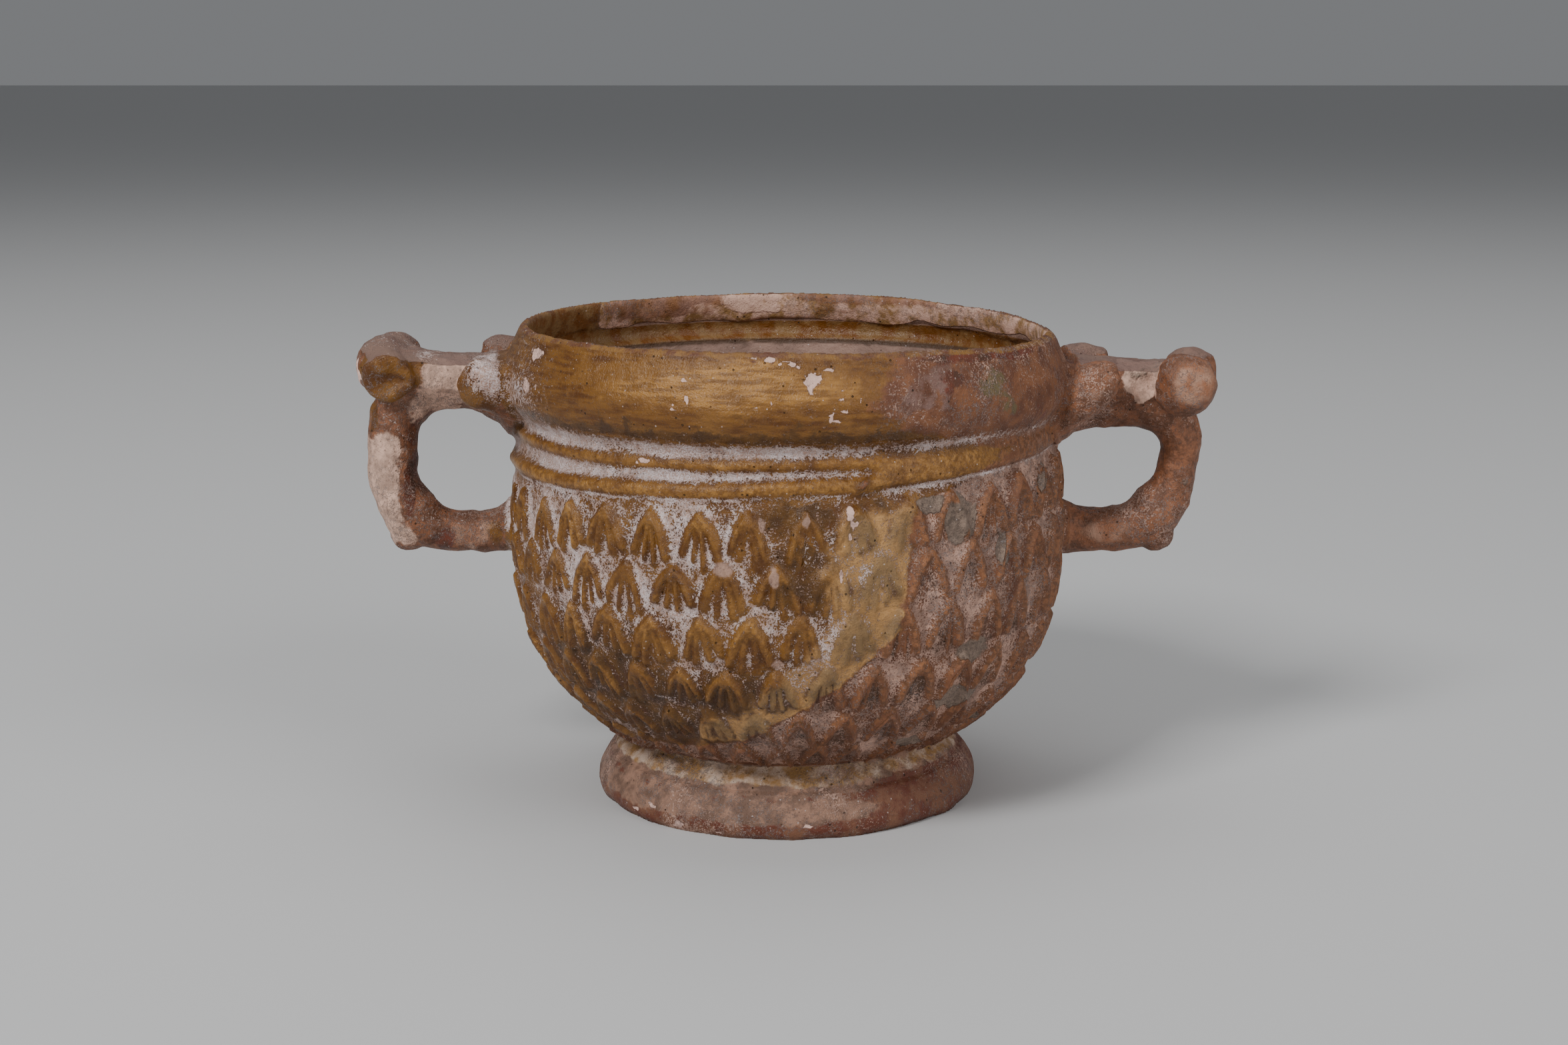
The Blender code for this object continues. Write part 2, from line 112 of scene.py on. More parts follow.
# Chips through the glaze on the front, as (sideways, height, half width, half height)
CHIPS = (
    (-2.9, 86.2, 1.1, 0.35), (-1.1, 85.5, 0.5, 0.4), (0.9, 85.4, 0.6, 0.5), (3.9, 83.1, 1.7, 0.75),
    (3.9, 82.7, 0.75, 1.9), (5.4, 84.3, 0.35, 0.5), (8.7, 80.0, 0.65, 0.3), (9.1, 78.2, 0.6, 0.3),
    (6.9, 77.0, 0.3, 0.9), (7.8, 76.6, 0.8, 0.3), (-4.9, 78.6, 0.5, 0.25), (-4.8, 81.7, 0.4, 0.25),
    (-42.6, 84.3, 1.3, 0.8), (-43.4, 83.8, 0.5, 0.9), (-44.8, 78.7, 0.6, 1.2), (-42.8, 78.9, 0.35, 0.6),
    (-23.8, 68.6, 1.3, 0.5), (10.3, 61.0, 0.6, 1.2), (10.9, 59.3, 0.75, 1.2), (10.2, 57.1, 0.35, 0.7),
    (-16.7, 82.7, 0.5, 0.4), (-16.2, 79.7, 0.35, 0.8), (-18.7, 78.9, 0.25, 0.35), (-18.5, 77.8, 0.4, 0.25),
    (-2.4, 79.4, 0.25, 0.3), (4.8, 85.4, 0.35, 0.3), (7.2, 84.5, 0.25, 0.25), (8.5, 81.2, 0.4, 0.25),
    (12.1, 79.5, 0.3, 0.35), (1.7, 84.9, 0.7, 0.25), (-5.6, 86.3, 0.9, 0.15), (8.9, 50.7, 0.35, 1.1),
    (-19.2, 1.3, 1.1, 0.7), (-27.2, 1.8, 0.9, 0.4), (-24.0, 3.4, 0.6, 0.3), (3.5, 2.6, 0.8, 0.3),
    (-12.0, 1.0, 0.7, 0.3),
)
# Soft pinkish spots, crusty patches and dark pools in the same form
PINK_SPOTS = (
    (-10.4, 51.9, 1.9, 1.2), (-2.2, 50.8, 0.7, 1.7), (3.1, 60.1, 0.6, 1.2), (-4.0, 59.0, 0.5, 1.4),
    (-1.5, 35.5, 1.0, 0.8),
)
CRUST_PATCHES = (
    (28.7, 26.1, 3.4, 2.0), (31.2, 35.0, 2.4, 2.0), (28.8, 58.5, 2.2, 3.2), (24.5, 61.5, 3.0, 1.2),
    (34.0, 19.0, 3.0, 1.0), (21.5, 17.0, 3.0, 0.8), (36.5, 52.0, 0.8, 2.6), (44.5, 62.0, 0.9, 2.6),
)
DARK_POOLS = (
    (-22.0, 25.0, 17.0, 8.0), (-33.0, 34.0, 9.0, 8.0), (-9.0, 28.0, 9.0, 5.5), (3.0, 50.0, 8.5, 7.0),
    (12.0, 57.0, 5.5, 6.5), (10.0, 47.5, 3.5, 4.0), (-4.0, 22.5, 8.0, 2.5), (2.0, 60.0, 9.0, 3.0),
)
# Softer places of the front, as (strength, sideways, height, half width, half height); the first is a painted highlight
# on the band
PAINTED_BAND_HIGHLIGHT = ((0.95, -6.0, 81.8, 20.0, 3.4), (0.15, -34.0, 80.0, 12.0, 4.0))
SILVER_BAND = ((0.5, -48.5, 77.5, 3.0, 4.0),)
# The left handle's silver is partly painted highlight: on the front knob's upper right and along the plate's front edge
SILVER_AND_HIGHLIGHT_LEFT = ((1.45, -52.4, 78.7, 4.0, 3.2), (0.8, -63.5, 82.5, 4.0, 1.4))
PURPLE_BAND = ((0.85, 22.5, 80.0, 5.0, 4.0), (0.5, 30.0, 84.0, 8.0, 2.0), (0.25, 22.0, 73.0, 8.0, 3.0))
GREEN_BAND = ((0.8, 34.0, 81.0, 3.0, 3.0), (0.7, 37.0, 77.0, 2.2, 2.2), (0.5, 29.0, 86.0, 7.0, 1.4))
GREEN_HORN = ((0.5, 56.0, 78.0, 2.2, 1.6),)
RED_BAND = ((0.95, 27.0, 82.0, 2.2, 2.0),)
RED_LIP = ((0.9, 32.0, 85.0, 14.0, 9.0),)
RED_LEFT = ((0.9, -68.6, 60.0, 1.6, 9.0), (0.9, -63.0, 47.0, 3.6, 3.0), (0.7, -65.0, 70.5, 3.5, 2.0))
PALE_RIGHT = ((0.95, 72.5, 77.5, 4.5, 4.5), (0.8, 59.0, 49.0, 6.0, 2.6), (0.6, 54.0, 76.0, 3.0, 2.5))
PALE_LEFT = ((0.8, -57.0, 48.5, 6.0, 2.6), (0.5, -70.0, 73.0, 4.0, 3.0))
AMBER_HORN = ((1.2, -55.5, 76.5, 5.5, 6.0),)
AMBER_LEFT = (
    (0.6, -66.0, 81.0, 5.0, 1.0), (0.5, -50.0, 79.0, 3.0, 3.0), (0.7, -52.5, 48.5, 4.0, 4.0),
    (0.8, -76.0, 70.5, 2.2, 4.0),
)
BUFF_WEB = ((1.6, -62.0, 77.0, 5.6, 5.2),)
BUFF_LEFT = ((0.9, -70.5, 47.5, 3.4, 3.4), (0.4, -57.0, 47.5, 7.0, 3.0), (0.5, -66.0, 70.5, 5.0, 3.0))

# The lights as (name, place, power, size) in metres, and the point that all of them face
LIGHTS = (
    ("key", (-0.70, -0.95, 1.05), 17.5, 0.45), ("fill", (1.05, -0.85, 0.75), 8.0, 0.8),
    ("top", (0.0, 0.35, 1.5), 6.0, 1.2),
)
LIGHTS_AIM = (0.0, 0.0, 0.045)
# The photo's view: the camera's place, its tilt downwards, and the lens, with its length in the photo's pixels
CAMERA_PLACE = (-0.0005, -0.400, 0.1309)
CAMERA_TILT = 0.2005
SENSOR_WIDTH = 36.0
FOCAL_LENGTH = 3300.0
PHOTO_WIDTH = 2352.0


def length_prop(name, words, millimetres):
    return FloatProperty(name=name, description=words, default=millimetres * MM, unit="LENGTH")


class SkyphosSizes(PropertyGroup):
    """Sizes of the cup that a user would change."""

    cup_height: length_prop("Cup height", "Lip above the resting plane", 87.4)
    body_radius: length_prop("Bowl radius", "Radius at the bowl's widest", 50.2)
    widest_z: length_prop("Widest height", "Height of the bowl's widest place", 50.0)
    body_drop: length_prop("Bowl depth", "Depth of the bowl's curve under its widest place", 45.5)
    body_fullness: FloatProperty(name="Bowl fullness", description="How square the bowl's curve is", default=2.45)
    foot_top_z: length_prop("Foot height", "Height where the foot meets the bowl", 12.6)
    floor_z: length_prop("Floor height", "Inner floor above the resting plane", 15.0)
    wall: length_prop("Wall", "Thickness of the bowl's wall", 3.4)
    lip_radius: length_prop("Lip radius", "Radius at the top of the lip", 47.7)
    lip_sag: length_prop("Lip sag", "How far the lip drops at the right", 1.6)
    lip_lean: FloatProperty(name="Lip lean", description="Rise of the lip to the back, per length", default=0.006)
    cordon_z: length_prop("Lower cordon", "Height of the lower cordon", 65.0)
    upper_cordon_z: length_prop("Upper cordon", "Height of the upper cordon", 68.7)
    cordon_height: length_prop("Cordon relief", "How far the cordons stand out", 1.15)
    cordon_tilt: FloatProperty(name="Cordon tilt", description="Rise to the right, per length", default=0.042)
    scales_top_z: length_prop("Scales' top", "Height of the top of the scales", 63.4)
    scale_relief: length_prop("Scale relief", "Height of a scale's ribs", 1.22)
    scale_count: IntProperty(name="Scales around", description="Scales in one row", default=36)
    scale_phase: FloatProperty(
        name="First scale", description="Turn of the rows from the front", default=radians(-2.1), subtype="ANGLE"
    )


def colour_prop(name, words, default):
    return FloatVectorProperty(name=name, description=words, default=default, size=3, min=0.0, max=1.0, subtype="COLOR")


class SkyphosColours(PropertyGroup):
    """Colours of the glaze, the clay and the weathering."""

    amber: colour_prop("Amber glaze", "Middle tone of the glaze", (0.206, 0.087, 0.013))
    amber_deep: colour_prop("Deep amber", "Glaze in its thick streaks", (0.098, 0.033, 0.004))
    # Light ochre is also the painted highlight on the crests, the cordons and the middle of the band
    amber_light: colour_prop("Light ochre", "Thin glaze on ridges and high places", (0.345, 0.164, 0.036))
    # Pooled glaze is also the colour of painted shade: beside the ribs, under the band and under the inner ledge
    pooled_glaze_and_shade: colour_prop("Pooled glaze", "Dark glaze gathered low on the bowl", (0.052, 0.021, 0.005))
    olive: colour_prop("Olive glaze", "Smooth patch beside the matt side", (0.400, 0.215, 0.078))
    olive_dark: colour_prop("Dark olive", "Scales under the olive patch", (0.190, 0.118, 0.052))
    matt_orange: colour_prop("Matt orange", "Decayed glaze on the right", (0.215, 0.082, 0.033))
    matt_brown: colour_prop("Matt brown", "Darker decayed glaze on the right", (0.080, 0.028, 0.013))
    crest: colour_prop("Orange crest", "Glaze on the crests of the matt side", (0.235, 0.094, 0.038))
    # Silver is also the colour of the painted highlights on the left handle's front knob and plate edge
    silver: colour_prop("Silver weathering", "Flaking skin in the hollows", (0.640, 0.550, 0.545))
    haze: colour_prop("Pink haze", "Thin pinkish deposit", (0.320, 0.200, 0.155))
    purple: colour_prop("Purple bloom", "Purplish decay on the band and the plates", (0.200, 0.115, 0.095))
    green: colour_prop("Green specks", "Copper green specks", (0.150, 0.130, 0.055))
    red: colour_prop("Dark red", "Iron red streaks", (0.150, 0.030, 0.012))
    crust: colour_prop("Grey crust", "Burial crust", (0.270, 0.200, 0.155))
    # Fired clay is also the colour of the painted highlight on the left roll's outer edge
    clay: colour_prop("Fired clay", "Bare clay in chips", (0.760, 0.500, 0.420))
    buff: colour_prop("Worn buff clay", "Rubbed clay on the handles", (0.520, 0.335, 0.255))
    flesh: colour_prop("Red handle clay", "Reddish clay of the handles", (0.270, 0.105, 0.048))
    foot_clay: colour_prop("Foot clay", "Bare clay of the foot", (0.270, 0.150, 0.100))


# Shapes


def lengths(size):
    """The named sizes in millimetres. Plain ratios, counts and angles stay as they are."""
    plain = {"body_fullness", "lip_lean", "cordon_tilt", "scale_count", "scale_phase"}
    names = SkyphosSizes.__annotations__
    return SimpleNamespace(**{name: getattr(size, name) / (1.0 if name in plain else MM) for name in names})


def bowl_radius(z, s):
    """Radius of the bowl's outer ground at height z."""
    drop = s.widest_z - z
    if drop <= 0.0:
        return s.body_radius - 0.0056 * drop * drop
    return s.body_radius * max(0.0, 1.0 - (drop / s.body_drop) ** s.body_fullness) ** 0.5


def eased_line(points, step):
    """Points about a step apart on a smooth line through the given ones."""
    points = np.array(points, float)
    chord = np.concatenate(([0.0], np.cumsum(np.hypot(*np.diff(points, axis=0).T))))
    slopes = np.gradient(points, chord, axis=0)
    line = [points[:1]]
    for i in range(len(points) - 1):
        gap = chord[i + 1] - chord[i]
        t = np.linspace(0.0, 1.0, max(2, int(np.ceil(gap / step)) + 1))[1:, None]
        near, far = points[i], points[i + 1]
        line.append(
            (2 * t**3 - 3 * t**2 + 1) * near + (t**3 - 2 * t**2 + t) * gap * slopes[i]
            + (3 * t**2 - 2 * t**3) * far + (t**3 - t**2) * gap * slopes[i + 1]
        )
    return np.concatenate(line)


def outer_line(s):
    """The outside of the cup from the resting ring to the lip, as (radius, height)."""
    foot = [(r, z) for z, r in FOOT_SIDE]
    heights = np.concatenate((np.arange(s.foot_top_z + 0.3, 22.0, 1.2), np.arange(22.0, 60.0, 3.0)))
    bowl = [(bowl_radius(z, s), z) for z in heights]
    upper = [(r, z) for z, r in NECK + BAND] + [(s.lip_radius, s.cup_height)]
    return eased_line(foot, 1.2), eased_line(bowl + upper, 1.2)


def inner_line(s):
    """The inside of the cup from the lip to the middle of the floor, as (radius, height)."""
    reach = s.body_radius - s.wall
    bowl = []
    for degrees in (0, 12, 24, 36, 46, 56, 64, 72, 79, 85, 90):
        depth = np.sin(radians(degrees))
        bowl.append((reach * (1.0 - depth**3.4) ** 0.5, s.widest_z - (s.widest_z - s.floor_z) * depth))
    return eased_line(RIM_INSIDE + tuple(bowl), 1.5)


def mode(name):
    bpy.ops.object.mode_set(mode=name)


def deselect():
    bpy.ops.object.select_all(action="DESELECT")


def take(obj):
    """Makes an object the only selected and the active one."""
    deselect()
    obj.select_set(True)
    bpy.context.view_layer.objects.active = obj
    return obj


def coordinates(obj):
    """The vertices' places in millimetres."""
    co = np.empty(len(obj.data.vertices) * 3)
    obj.data.vertices.foreach_get("co", co)
    return co.reshape(-1, 3) / MM


def directions(obj):
    """The vertex normals."""
    normals = np.empty(len(obj.data.vertices) * 3)
    obj.data.vertices.foreach_get("normal", normals)
    return normals.reshape(-1, 3)


def set_coordinates(obj, co):
    obj.data.vertices.foreach_set("co", (co * MM).astype(np.float32).ravel())
    obj.data.update()


def apply_modifier(obj, kind, **settings):
    """Adds one modifier with its settings and applies it."""
    take(obj)
    modifier = obj.modifiers.new(kind.lower(), kind)
    for name, value in settings.items():
        setattr(modifier, name, value)
    bpy.ops.object.modifier_apply(modifier=modifier.name)


def turned_body(name, line):
    """Turns a line of (radius, height) that starts and ends on the axis into a closed body."""
    deselect()
    bpy.ops.mesh.primitive_circle_add(vertices=len(line), radius=1.0)
    body = bpy.context.object
    body.name = name
    set_coordinates(body, np.stack([line[:, 0], np.zeros(len(line)), line[:, 1]], axis=1))
    mode("EDIT")
    bpy.ops.mesh.select_all(action="DESELECT")
    mesh = bmesh.from_edit_mesh(body.data)
    mesh.verts.ensure_lookup_table()
    closing = mesh.edges.get((mesh.verts[0], mesh.verts[len(line) - 1]))
    mesh.edges.remove(closing)
    bmesh.update_edit_mesh(body.data)
    bpy.ops.mesh.select_all(action="SELECT")
    bpy.ops.mesh.spin(steps=TURN_STEPS, angle=2 * pi, center=(0, 0, 0), axis=(0, 0, 1))
    bpy.ops.mesh.select_all(action="SELECT")
    bpy.ops.mesh.remove_doubles(threshold=1e-5)
    bpy.ops.mesh.normals_make_consistent(inside=False)
    mode("OBJECT")
    return body


def coil(name, side, points, flatten=1.0):
    """A rolled strip of clay through points (outwards, back, up, half thickness)."""
    deselect()
    bpy.ops.curve.primitive_bezier_curve_add()
    strip = bpy.context.object
    strip.name = name
    knots = strip.data.splines[0].bezier_points
    knots.add(len(points) - 2)
    for knot, (x, y, z, half) in zip(knots, points):
        knot.co = Vector((side * x, y, z)) * MM
        knot.radius = half
    mode("EDIT")
    bpy.ops.curve.select_all(action="SELECT")
    bpy.ops.curve.handle_type_set(type="AUTOMATIC")
    mode("OBJECT")
    strip.data.bevel_depth = MM
    strip.data.bevel_resolution = 6
    strip.data.resolution_u = 10
    strip.data.use_fill_caps = True
    bpy.ops.object.convert(target="MESH")
    strip = bpy.context.object
    co = coordinates(strip)
    co[:, 1] *= flatten
    set_coordinates(strip, co)
    return strip


def ball(name, side, x, y, z, radii):
    """A lump of clay, round or squeezed."""
    deselect()
    bpy.ops.mesh.primitive_uv_sphere_add(segments=40, ring_count=24, radius=1.0)
    lump = bpy.context.object
    lump.name = name
    set_coordinates(lump, coordinates(lump) * MM * np.array(radii) + np.array((side * x, y, z)))
    return lump


def thumb_plate(name, side, stations):
    """The flat rest through stations (outwards, half width, top, thickness), with rounded edges."""
    deselect()
    bpy.ops.mesh.primitive_cube_add(size=2.0)
    plate = bpy.context.object
    plate.name = name
    mode("EDIT")
    bpy.ops.mesh.subdivide(number_cuts=9)
    mode("OBJECT")
    unit = coordinates(plate) * MM
    stations = np.array(stations, float)
    share = (unit[:, 0] + 1.0) / 2.0
    where = np.linspace(0.0, 1.0, len(stations))
    x, half, top, thick = (np.interp(share, where, stations[:, k]) for k in range(4))
    edge = 1.0 - 0.35 * np.abs(unit[:, 1]) ** 4
    z = top - thick / 2 + unit[:, 2] * edge * thick / 2
    set_coordinates(plate, np.stack([side * x, unit[:, 1] * half, z], axis=1))
    take(plate)
    mode("EDIT")
    bpy.ops.mesh.select_all(action="SELECT")
    bpy.ops.mesh.normals_make_consistent(inside=False)
    mode("OBJECT")
    return plate


def left_handle():
    """The left handle's coils: ring, thumb plate, cross-roll with flat ends, and two horns."""
    return [
        coil("left_ring", -1, (
            (46, 0, 74.0, 7.5), (52, 0, 74.6, 6.4), (58, 0, 75.6, 5.0), (64, 0, 75.2, 4.8), (69.4, 0, 72.9, 5.0),
            (72.3, 0, 68.0, 4.8), (72.7, 0, 62.0, 4.6), (71.9, 0, 56.3, 4.7), (69.2, 0, 51.3, 5.2),
            (65.0, 0, 48.6, 4.1), (59.0, 0, 48.0, 3.7), (53.0, 0, 48.6, 4.1), (49.5, 0, 49.4, 5.6), (46, 0, 49.6, 7.0),
        ), flatten=1.04),
        thumb_plate("left_plate", -1, (
            (46, 10.2, 81.6, 9), (51.5, 9.2, 81.4, 8), (57, 6.8, 81.0, 7), (62, 6.2, 81.0, 7), (67, 7.4, 82.0, 7.4),
            (72.5, 9.2, 82.6, 8),
        )),
        coil("left_roll", -1, (
            (71.2, -11.0, 77.9, 4.5), (71.6, -8.0, 78.2, 4.6), (73.2, -3.0, 78.7, 5.0), (73.6, 2.0, 79.2, 5.0),
            (72.4, 8.0, 79.9, 4.5), (71.6, 11.0, 80.1, 3.9),
        )),
        coil("left_front_horn", -1, ((47, -9.4, 74.8, 5.2), (51, -11.6, 76.4, 4.6), (53.6, -12.6, 77.2, 4.3))),
        ball("left_front_knob", -1, 54.0, -12.8, 77.3, (4.4, 4.3, 4.4)),
        coil("left_back_horn", -1, (
            (47, 9.4, 77.0, 5.2), (52, 11.2, 78.4, 4.4), (55.4, 11.8, 79.0, 4.0), (57.2, 11.9, 79.2, 2.8),
        )),
        ball("left_root", -1, 48.6, 0, 73.2, (5.6, 8.6, 7.6)),
        ball("left_seam", -1, 45.1, 0, 67.0, (4.8, 9.0, 8.0)),
        ball("left_heel", -1, 69.4, 0, 48.4, (3.9, 3.9, 3.9)),
    ]


def right_handle():
    """The right handle's coils: ring, thumb plate, a bar with two balls, and two long horns."""
    return [
        coil("right_ring", 1, (
            (46, 0, 72.5, 7.5), (52, 0, 73.0, 6.3), (57, 0, 72.9, 5.5), (63, 0, 72.7, 5.3), (68.8, 0, 70.7, 5.0),
            (71.9, 0, 66.5, 3.95), (72.1, 0, 61.5, 3.7), (71.3, 0, 57.0, 4.0), (68.7, 0, 52.4, 4.9),
            (64.8, 0, 49.2, 4.4), (59.0, 0, 48.4, 4.0), (53.5, 0, 48.5, 4.3), (49.5, 0, 48.9, 5.6), (46, 0, 49.0, 7.0),
        ), flatten=1.06),
        thumb_plate("right_plate", 1, (
            (46, 10.2, 81.2, 10), (51.5, 9.0, 80.9, 9), (57, 7.0, 80.3, 8), (62, 6.4, 80.0, 8), (67, 6.2, 79.9, 7.4),
            (72.0, 6.6, 80.2, 7),
        )),
        coil("right_bar", 1, ((71.8, -7.5, 76.6, 3.2), (72.8, 0, 76.4, 4.2), (75.0, 7.5, 76.6, 3.4))),
        ball("right_front_ball", 1, 71.2, -9.6, 76.6, (5.6, 5.4, 5.6)),
        ball("right_back_ball", 1, 75.2, 7.4, 76.6, (5.0, 5.0, 5.0)),
        coil("right_front_horn", 1, (
            (46.0, -9.0, 71.6, 5.8), (50.5, -11.4, 74.3, 4.8), (54.6, -12.9, 77.0, 4.0), (57.4, -13.5, 78.6, 3.2),
            (59.0, -13.6, 79.2, 1.9),
        )),
        coil("right_back_horn", 1, (
            (46.5, 7.8, 75.2, 5.4), (51, 9.2, 77.0, 4.4), (55.6, 10.2, 78.2, 3.8), (59.0, 10.6, 78.4, 3.0),
            (60.2, 10.6, 78.4, 2.0),
        )),
        ball("right_root", 1, 48.6, 0, 72.2, (5.6, 8.6, 7.4)),
        ball("right_seam", 1, 45.1, 0, 66.0, (4.8, 9.0, 8.0)),
        ball("right_heel", 1, 68.2, 0, 47.6, (3.5, 3.6, 3.5)),
    ]


def join(parts, name):
    deselect()
    for part in parts:
        part.select_set(True)
    bpy.context.view_layer.objects.active = parts[0]
    bpy.ops.object.join()
    whole = bpy.context.object
    whole.name = name
    return whole


def rise(value, low, high):
    """0 below low, 1 above high and a soft step between."""
    t = np.clip((value - low) / (high - low), 0.0, 1.0)
    return t * t * (3.0 - 2.0 * t)


def fall(value, low, high):
    """1 below low and 0 above high."""
    return 1.0 - rise(value, low, high)


def hump(value, middle, half):
    """1 at a middle value, dying away on both sides."""
    return np.exp(-(((value - middle) / half) ** 2))


def cloud(co, grain, seed):
    """Soft value noise from -1 to 1, with lumps about a grain wide."""
    p = co / grain + seed * 17.31
    cell = np.floor(p).astype(np.int64)
    f = p - cell
    f = f * f * (3.0 - 2.0 * f)
    total = np.zeros(len(co))
    for corner in np.ndindex(2, 2, 2):
        key = np.bitwise_xor.reduce((cell + corner) * (73856093, 19349663, 83492791), axis=1)
        key = (key ^ (key >> 13)) * 1274126177 & 0x7FFFFFFF
        value = (key ^ (key >> 16)) % 65536 / 32767.5 - 1.0
        total += value * np.prod(np.where(corner, f, 1 - f), axis=1)
    return total


def chance(*keys):
    """A fixed random number from -1 to 1 for each pair of whole numbers."""
    value = sum(np.asarray(k, float) * m for k, m in zip(keys, (127.1, 311.7, 74.7)))
    value = np.sin(value) * 43758.5453
    return 2.0 * (value - np.floor(value)) - 1.0


class Ground:
    """Where each vertex lies on the cup: its angle, height, and height above the turned ground."""

    def __init__(self, co, normals, s):
        self.s = s
        self.co = co
        self.x, self.y, self.z = co.T
        self.wx = self.x + 1.2 * cloud(co, 3.6, 41) + 0.6 * cloud(co, 1.5, 43)
        self.wz = self.z + 1.2 * cloud(co, 3.6, 42) + 0.6 * cloud(co, 1.5, 44)
        self.radius = np.hypot(self.x, self.y)
        self.angle = np.arctan2(self.x, -self.y)
        foot, upper = outer_line(s)
        line = np.concatenate((foot, upper))
        self.ground = np.interp(self.z, line[:, 1], line[:, 0])
        self.outward = (normals[:, 0] * self.x + normals[:, 1] * self.y) / np.maximum(self.radius, 1e-6)
        self.proud = self.radius - self.ground
        near = rise(self.proud, -3.0, -1.6) * fall(self.proud, 0.9, 2.2)
        facing = rise(self.outward, 0.05, 0.35)
        self.skin = near * facing
        self.lean = s.cordon_tilt * self.x * np.where(self.x > 14.0, 1.25, 1.0)
        run = np.concatenate(([0.0], np.cumsum(np.hypot(*np.diff(upper, axis=0).T))))
        run_at = lambda heights: run[-1] - np.interp(heights, upper[:, 1], run)
        fade = rise(self.z, 20.0, s.scales_top_z)
        self.down = run_at(self.z - self.lean * fade)
        self.row_tops = run_at(np.array(ROW_TIPS))
        self.row_ends = np.append(self.row_tops[1:], run_at(s.foot_top_z + 0.3))
        self.scales_start = run_at(s.scales_top_z)
        self.matt = self.x - np.interp(self.z, *zip(*MATT_EDGE))


def rib(a, b, course, half, height):
    """Height of one rounded rib along a course of points, dying away to its end."""
    best = np.zeros(len(a))
    total = len(course) - 1
    for k, ((a0, b0), (a1, b1)) in enumerate(zip(course, course[1:])):
        ua, ub = a1 - a0, b1 - b0
        t = np.clip(((a - a0) * ua + (b - b0) * ub) / (ua * ua + ub * ub), 0.0, 1.0)
        away = np.hypot(a - a0 - t * ua, b - b0 - t * ub)
        share = (k + t) / total
        best = np.maximum(best, height * (1.0 - 0.2 * share**2) * np.exp(-((away / half) ** 2)))
    return best


def scale_field(g):
    """Height of the scales from 0 to 1, and how near a rib each vertex lies.

    A scale is four ribs that fan from a round tip, and the rows are staggered.
    """
    s = g.s
    pitch = 2 * pi / s.scale_count
    turns = (g.angle - s.scale_phase) / pitch
    worn = rise(g.matt, -2.0, 2.0)
    squeeze = np.maximum(1.0, NOMINAL_STEP / (g.row_ends - g.row_tops))
    height = np.zeros(len(g.x))
    near = np.zeros(len(g.x))
    lowest = np.searchsorted(g.row_tops, g.down + 1.3) - 1
    for back in (0, 1):
        row = lowest - back
        real = row >= 0
        row = np.maximum(row, 0)
        offset = ((row + 1) % 2) / 2
        column = np.round(turns - offset).astype(int)
        wrap = column % s.scale_count
        b = (g.down - g.row_tops[row]) * squeeze[row] + 0.5 * chance(row + 31, wrap)
        a = (turns - offset - column) * NOMINAL_PITCH + 0.4 * chance(row, wrap) + 0.05 * b * chance(wrap, row + 9)
        a = a * (1.0 + 0.1 * chance(row + 3, wrap + 2))
        strength = 1.0 + 0.2 * chance(row + 5, wrap + 7)
        one = np.zeros(len(g.x))
        beside = np.zeros(len(g.x))
        for side in (a, -a):
            arm = 2 * wrap + (1 if side is a else 0)
            wide = side * (1.0 + 0.16 * chance(row + 11, arm))
            slim = side * (1.0 + 0.35 * chance(row + 17, wrap))
            long = b * (1.0 + 0.18 * chance(row + 23, arm))
            outer = rib(wide, long, OUTER_RIB, 0.76, 1.0) * (1 - worn) + rib(side, b, WORN_RIB, 0.95, 1.3) * worn
            inner = rib(slim, long, INNER_RIB, 0.58, 1.0) * (0.78 + 0.2 * chance(row + 29, arm) - 0.35 * worn)
            one = np.maximum(one, np.maximum(outer, inner))
            close = np.maximum(rib(side, b, OUTER_RIB, 1.7, 1.0), rib(side, b, INNER_RIB, 1.4, 1.0))
            beside = np.maximum(beside, close)
        leaf = (0.16 + 0.10 * worn) * np.exp(-((a / 2.3) ** 4)) * rise(b, 0.5, 2.5) * fall(b, 5.5, 8.0)
        tip = np.exp(-((a / 1.35) ** 2 + ((b - 1.8) / 1.6) ** 2) ** 1.5)
        one = np.maximum(np.maximum(one, leaf), tip * (1 - 0.3 * worn)) * strength
        height = np.maximum(height, np.where(real, one, 0.0))
        near = np.maximum(near, np.where(real, beside, 0.0))
    low = 1.0 - 0.2 * rise(-g.z, -24.0, -17.0)
    low *= 1.0 - 0.8 * np.exp(-((g.y / 9.0) ** 2)) * rise(np.abs(g.x), 40.0, 44.0)
    zone = rise(g.down, g.scales_start - 0.2, g.scales_start + 0.6) * fall(g.down, g.row_ends[-1] - 1.4, g.row_ends[-1])
    blur = blurred(g)
    return height * low * zone * (1.0 - 0.6 * blur), near * zone


def blurred(g):
    """Where the mould left the scales soft: the middle of the front and under the olive patch."""
    front = g.y < 0
    middle = np.exp(-(((g.x - 5.0) / 8.0) ** 2 + ((g.z - 53.0) / 9.0) ** 2)) * front
    olive = rise(g.matt, -12.0, -9.0) * fall(g.matt, -2.0, 0.0) * front
    low = np.exp(-(((g.x + 2.0) / 12.0) ** 2 + ((g.z - 25.0) / 5.0) ** 2)) * front
    patches = rise(cloud(g.co, 14.0, 3), 0.25, 0.9)
    return np.clip(0.7 * middle + 0.45 * olive + 0.1 * low + 0.35 * patches, 0.0, 1.0)


def spots(g, places):
    """1 in the middle of a spot on the front, 0 at its edge and below 0 outside it."""
    field = np.full(len(g.x), -1.0)
    stray = 0.35 * cloud(g.co, 1.3, 46)
    for x, z, half_x, half_z in places:
        away = np.hypot((g.x + stray - x) / half_x, (g.z - stray - z) / half_z)
        field = np.maximum(field, np.where(g.y < 0, 1.0 - away, -1.0))
    return field


def ridge(z, crest, half, height):
    return height * np.exp(-np.abs((z - crest) / half) ** 2.6)


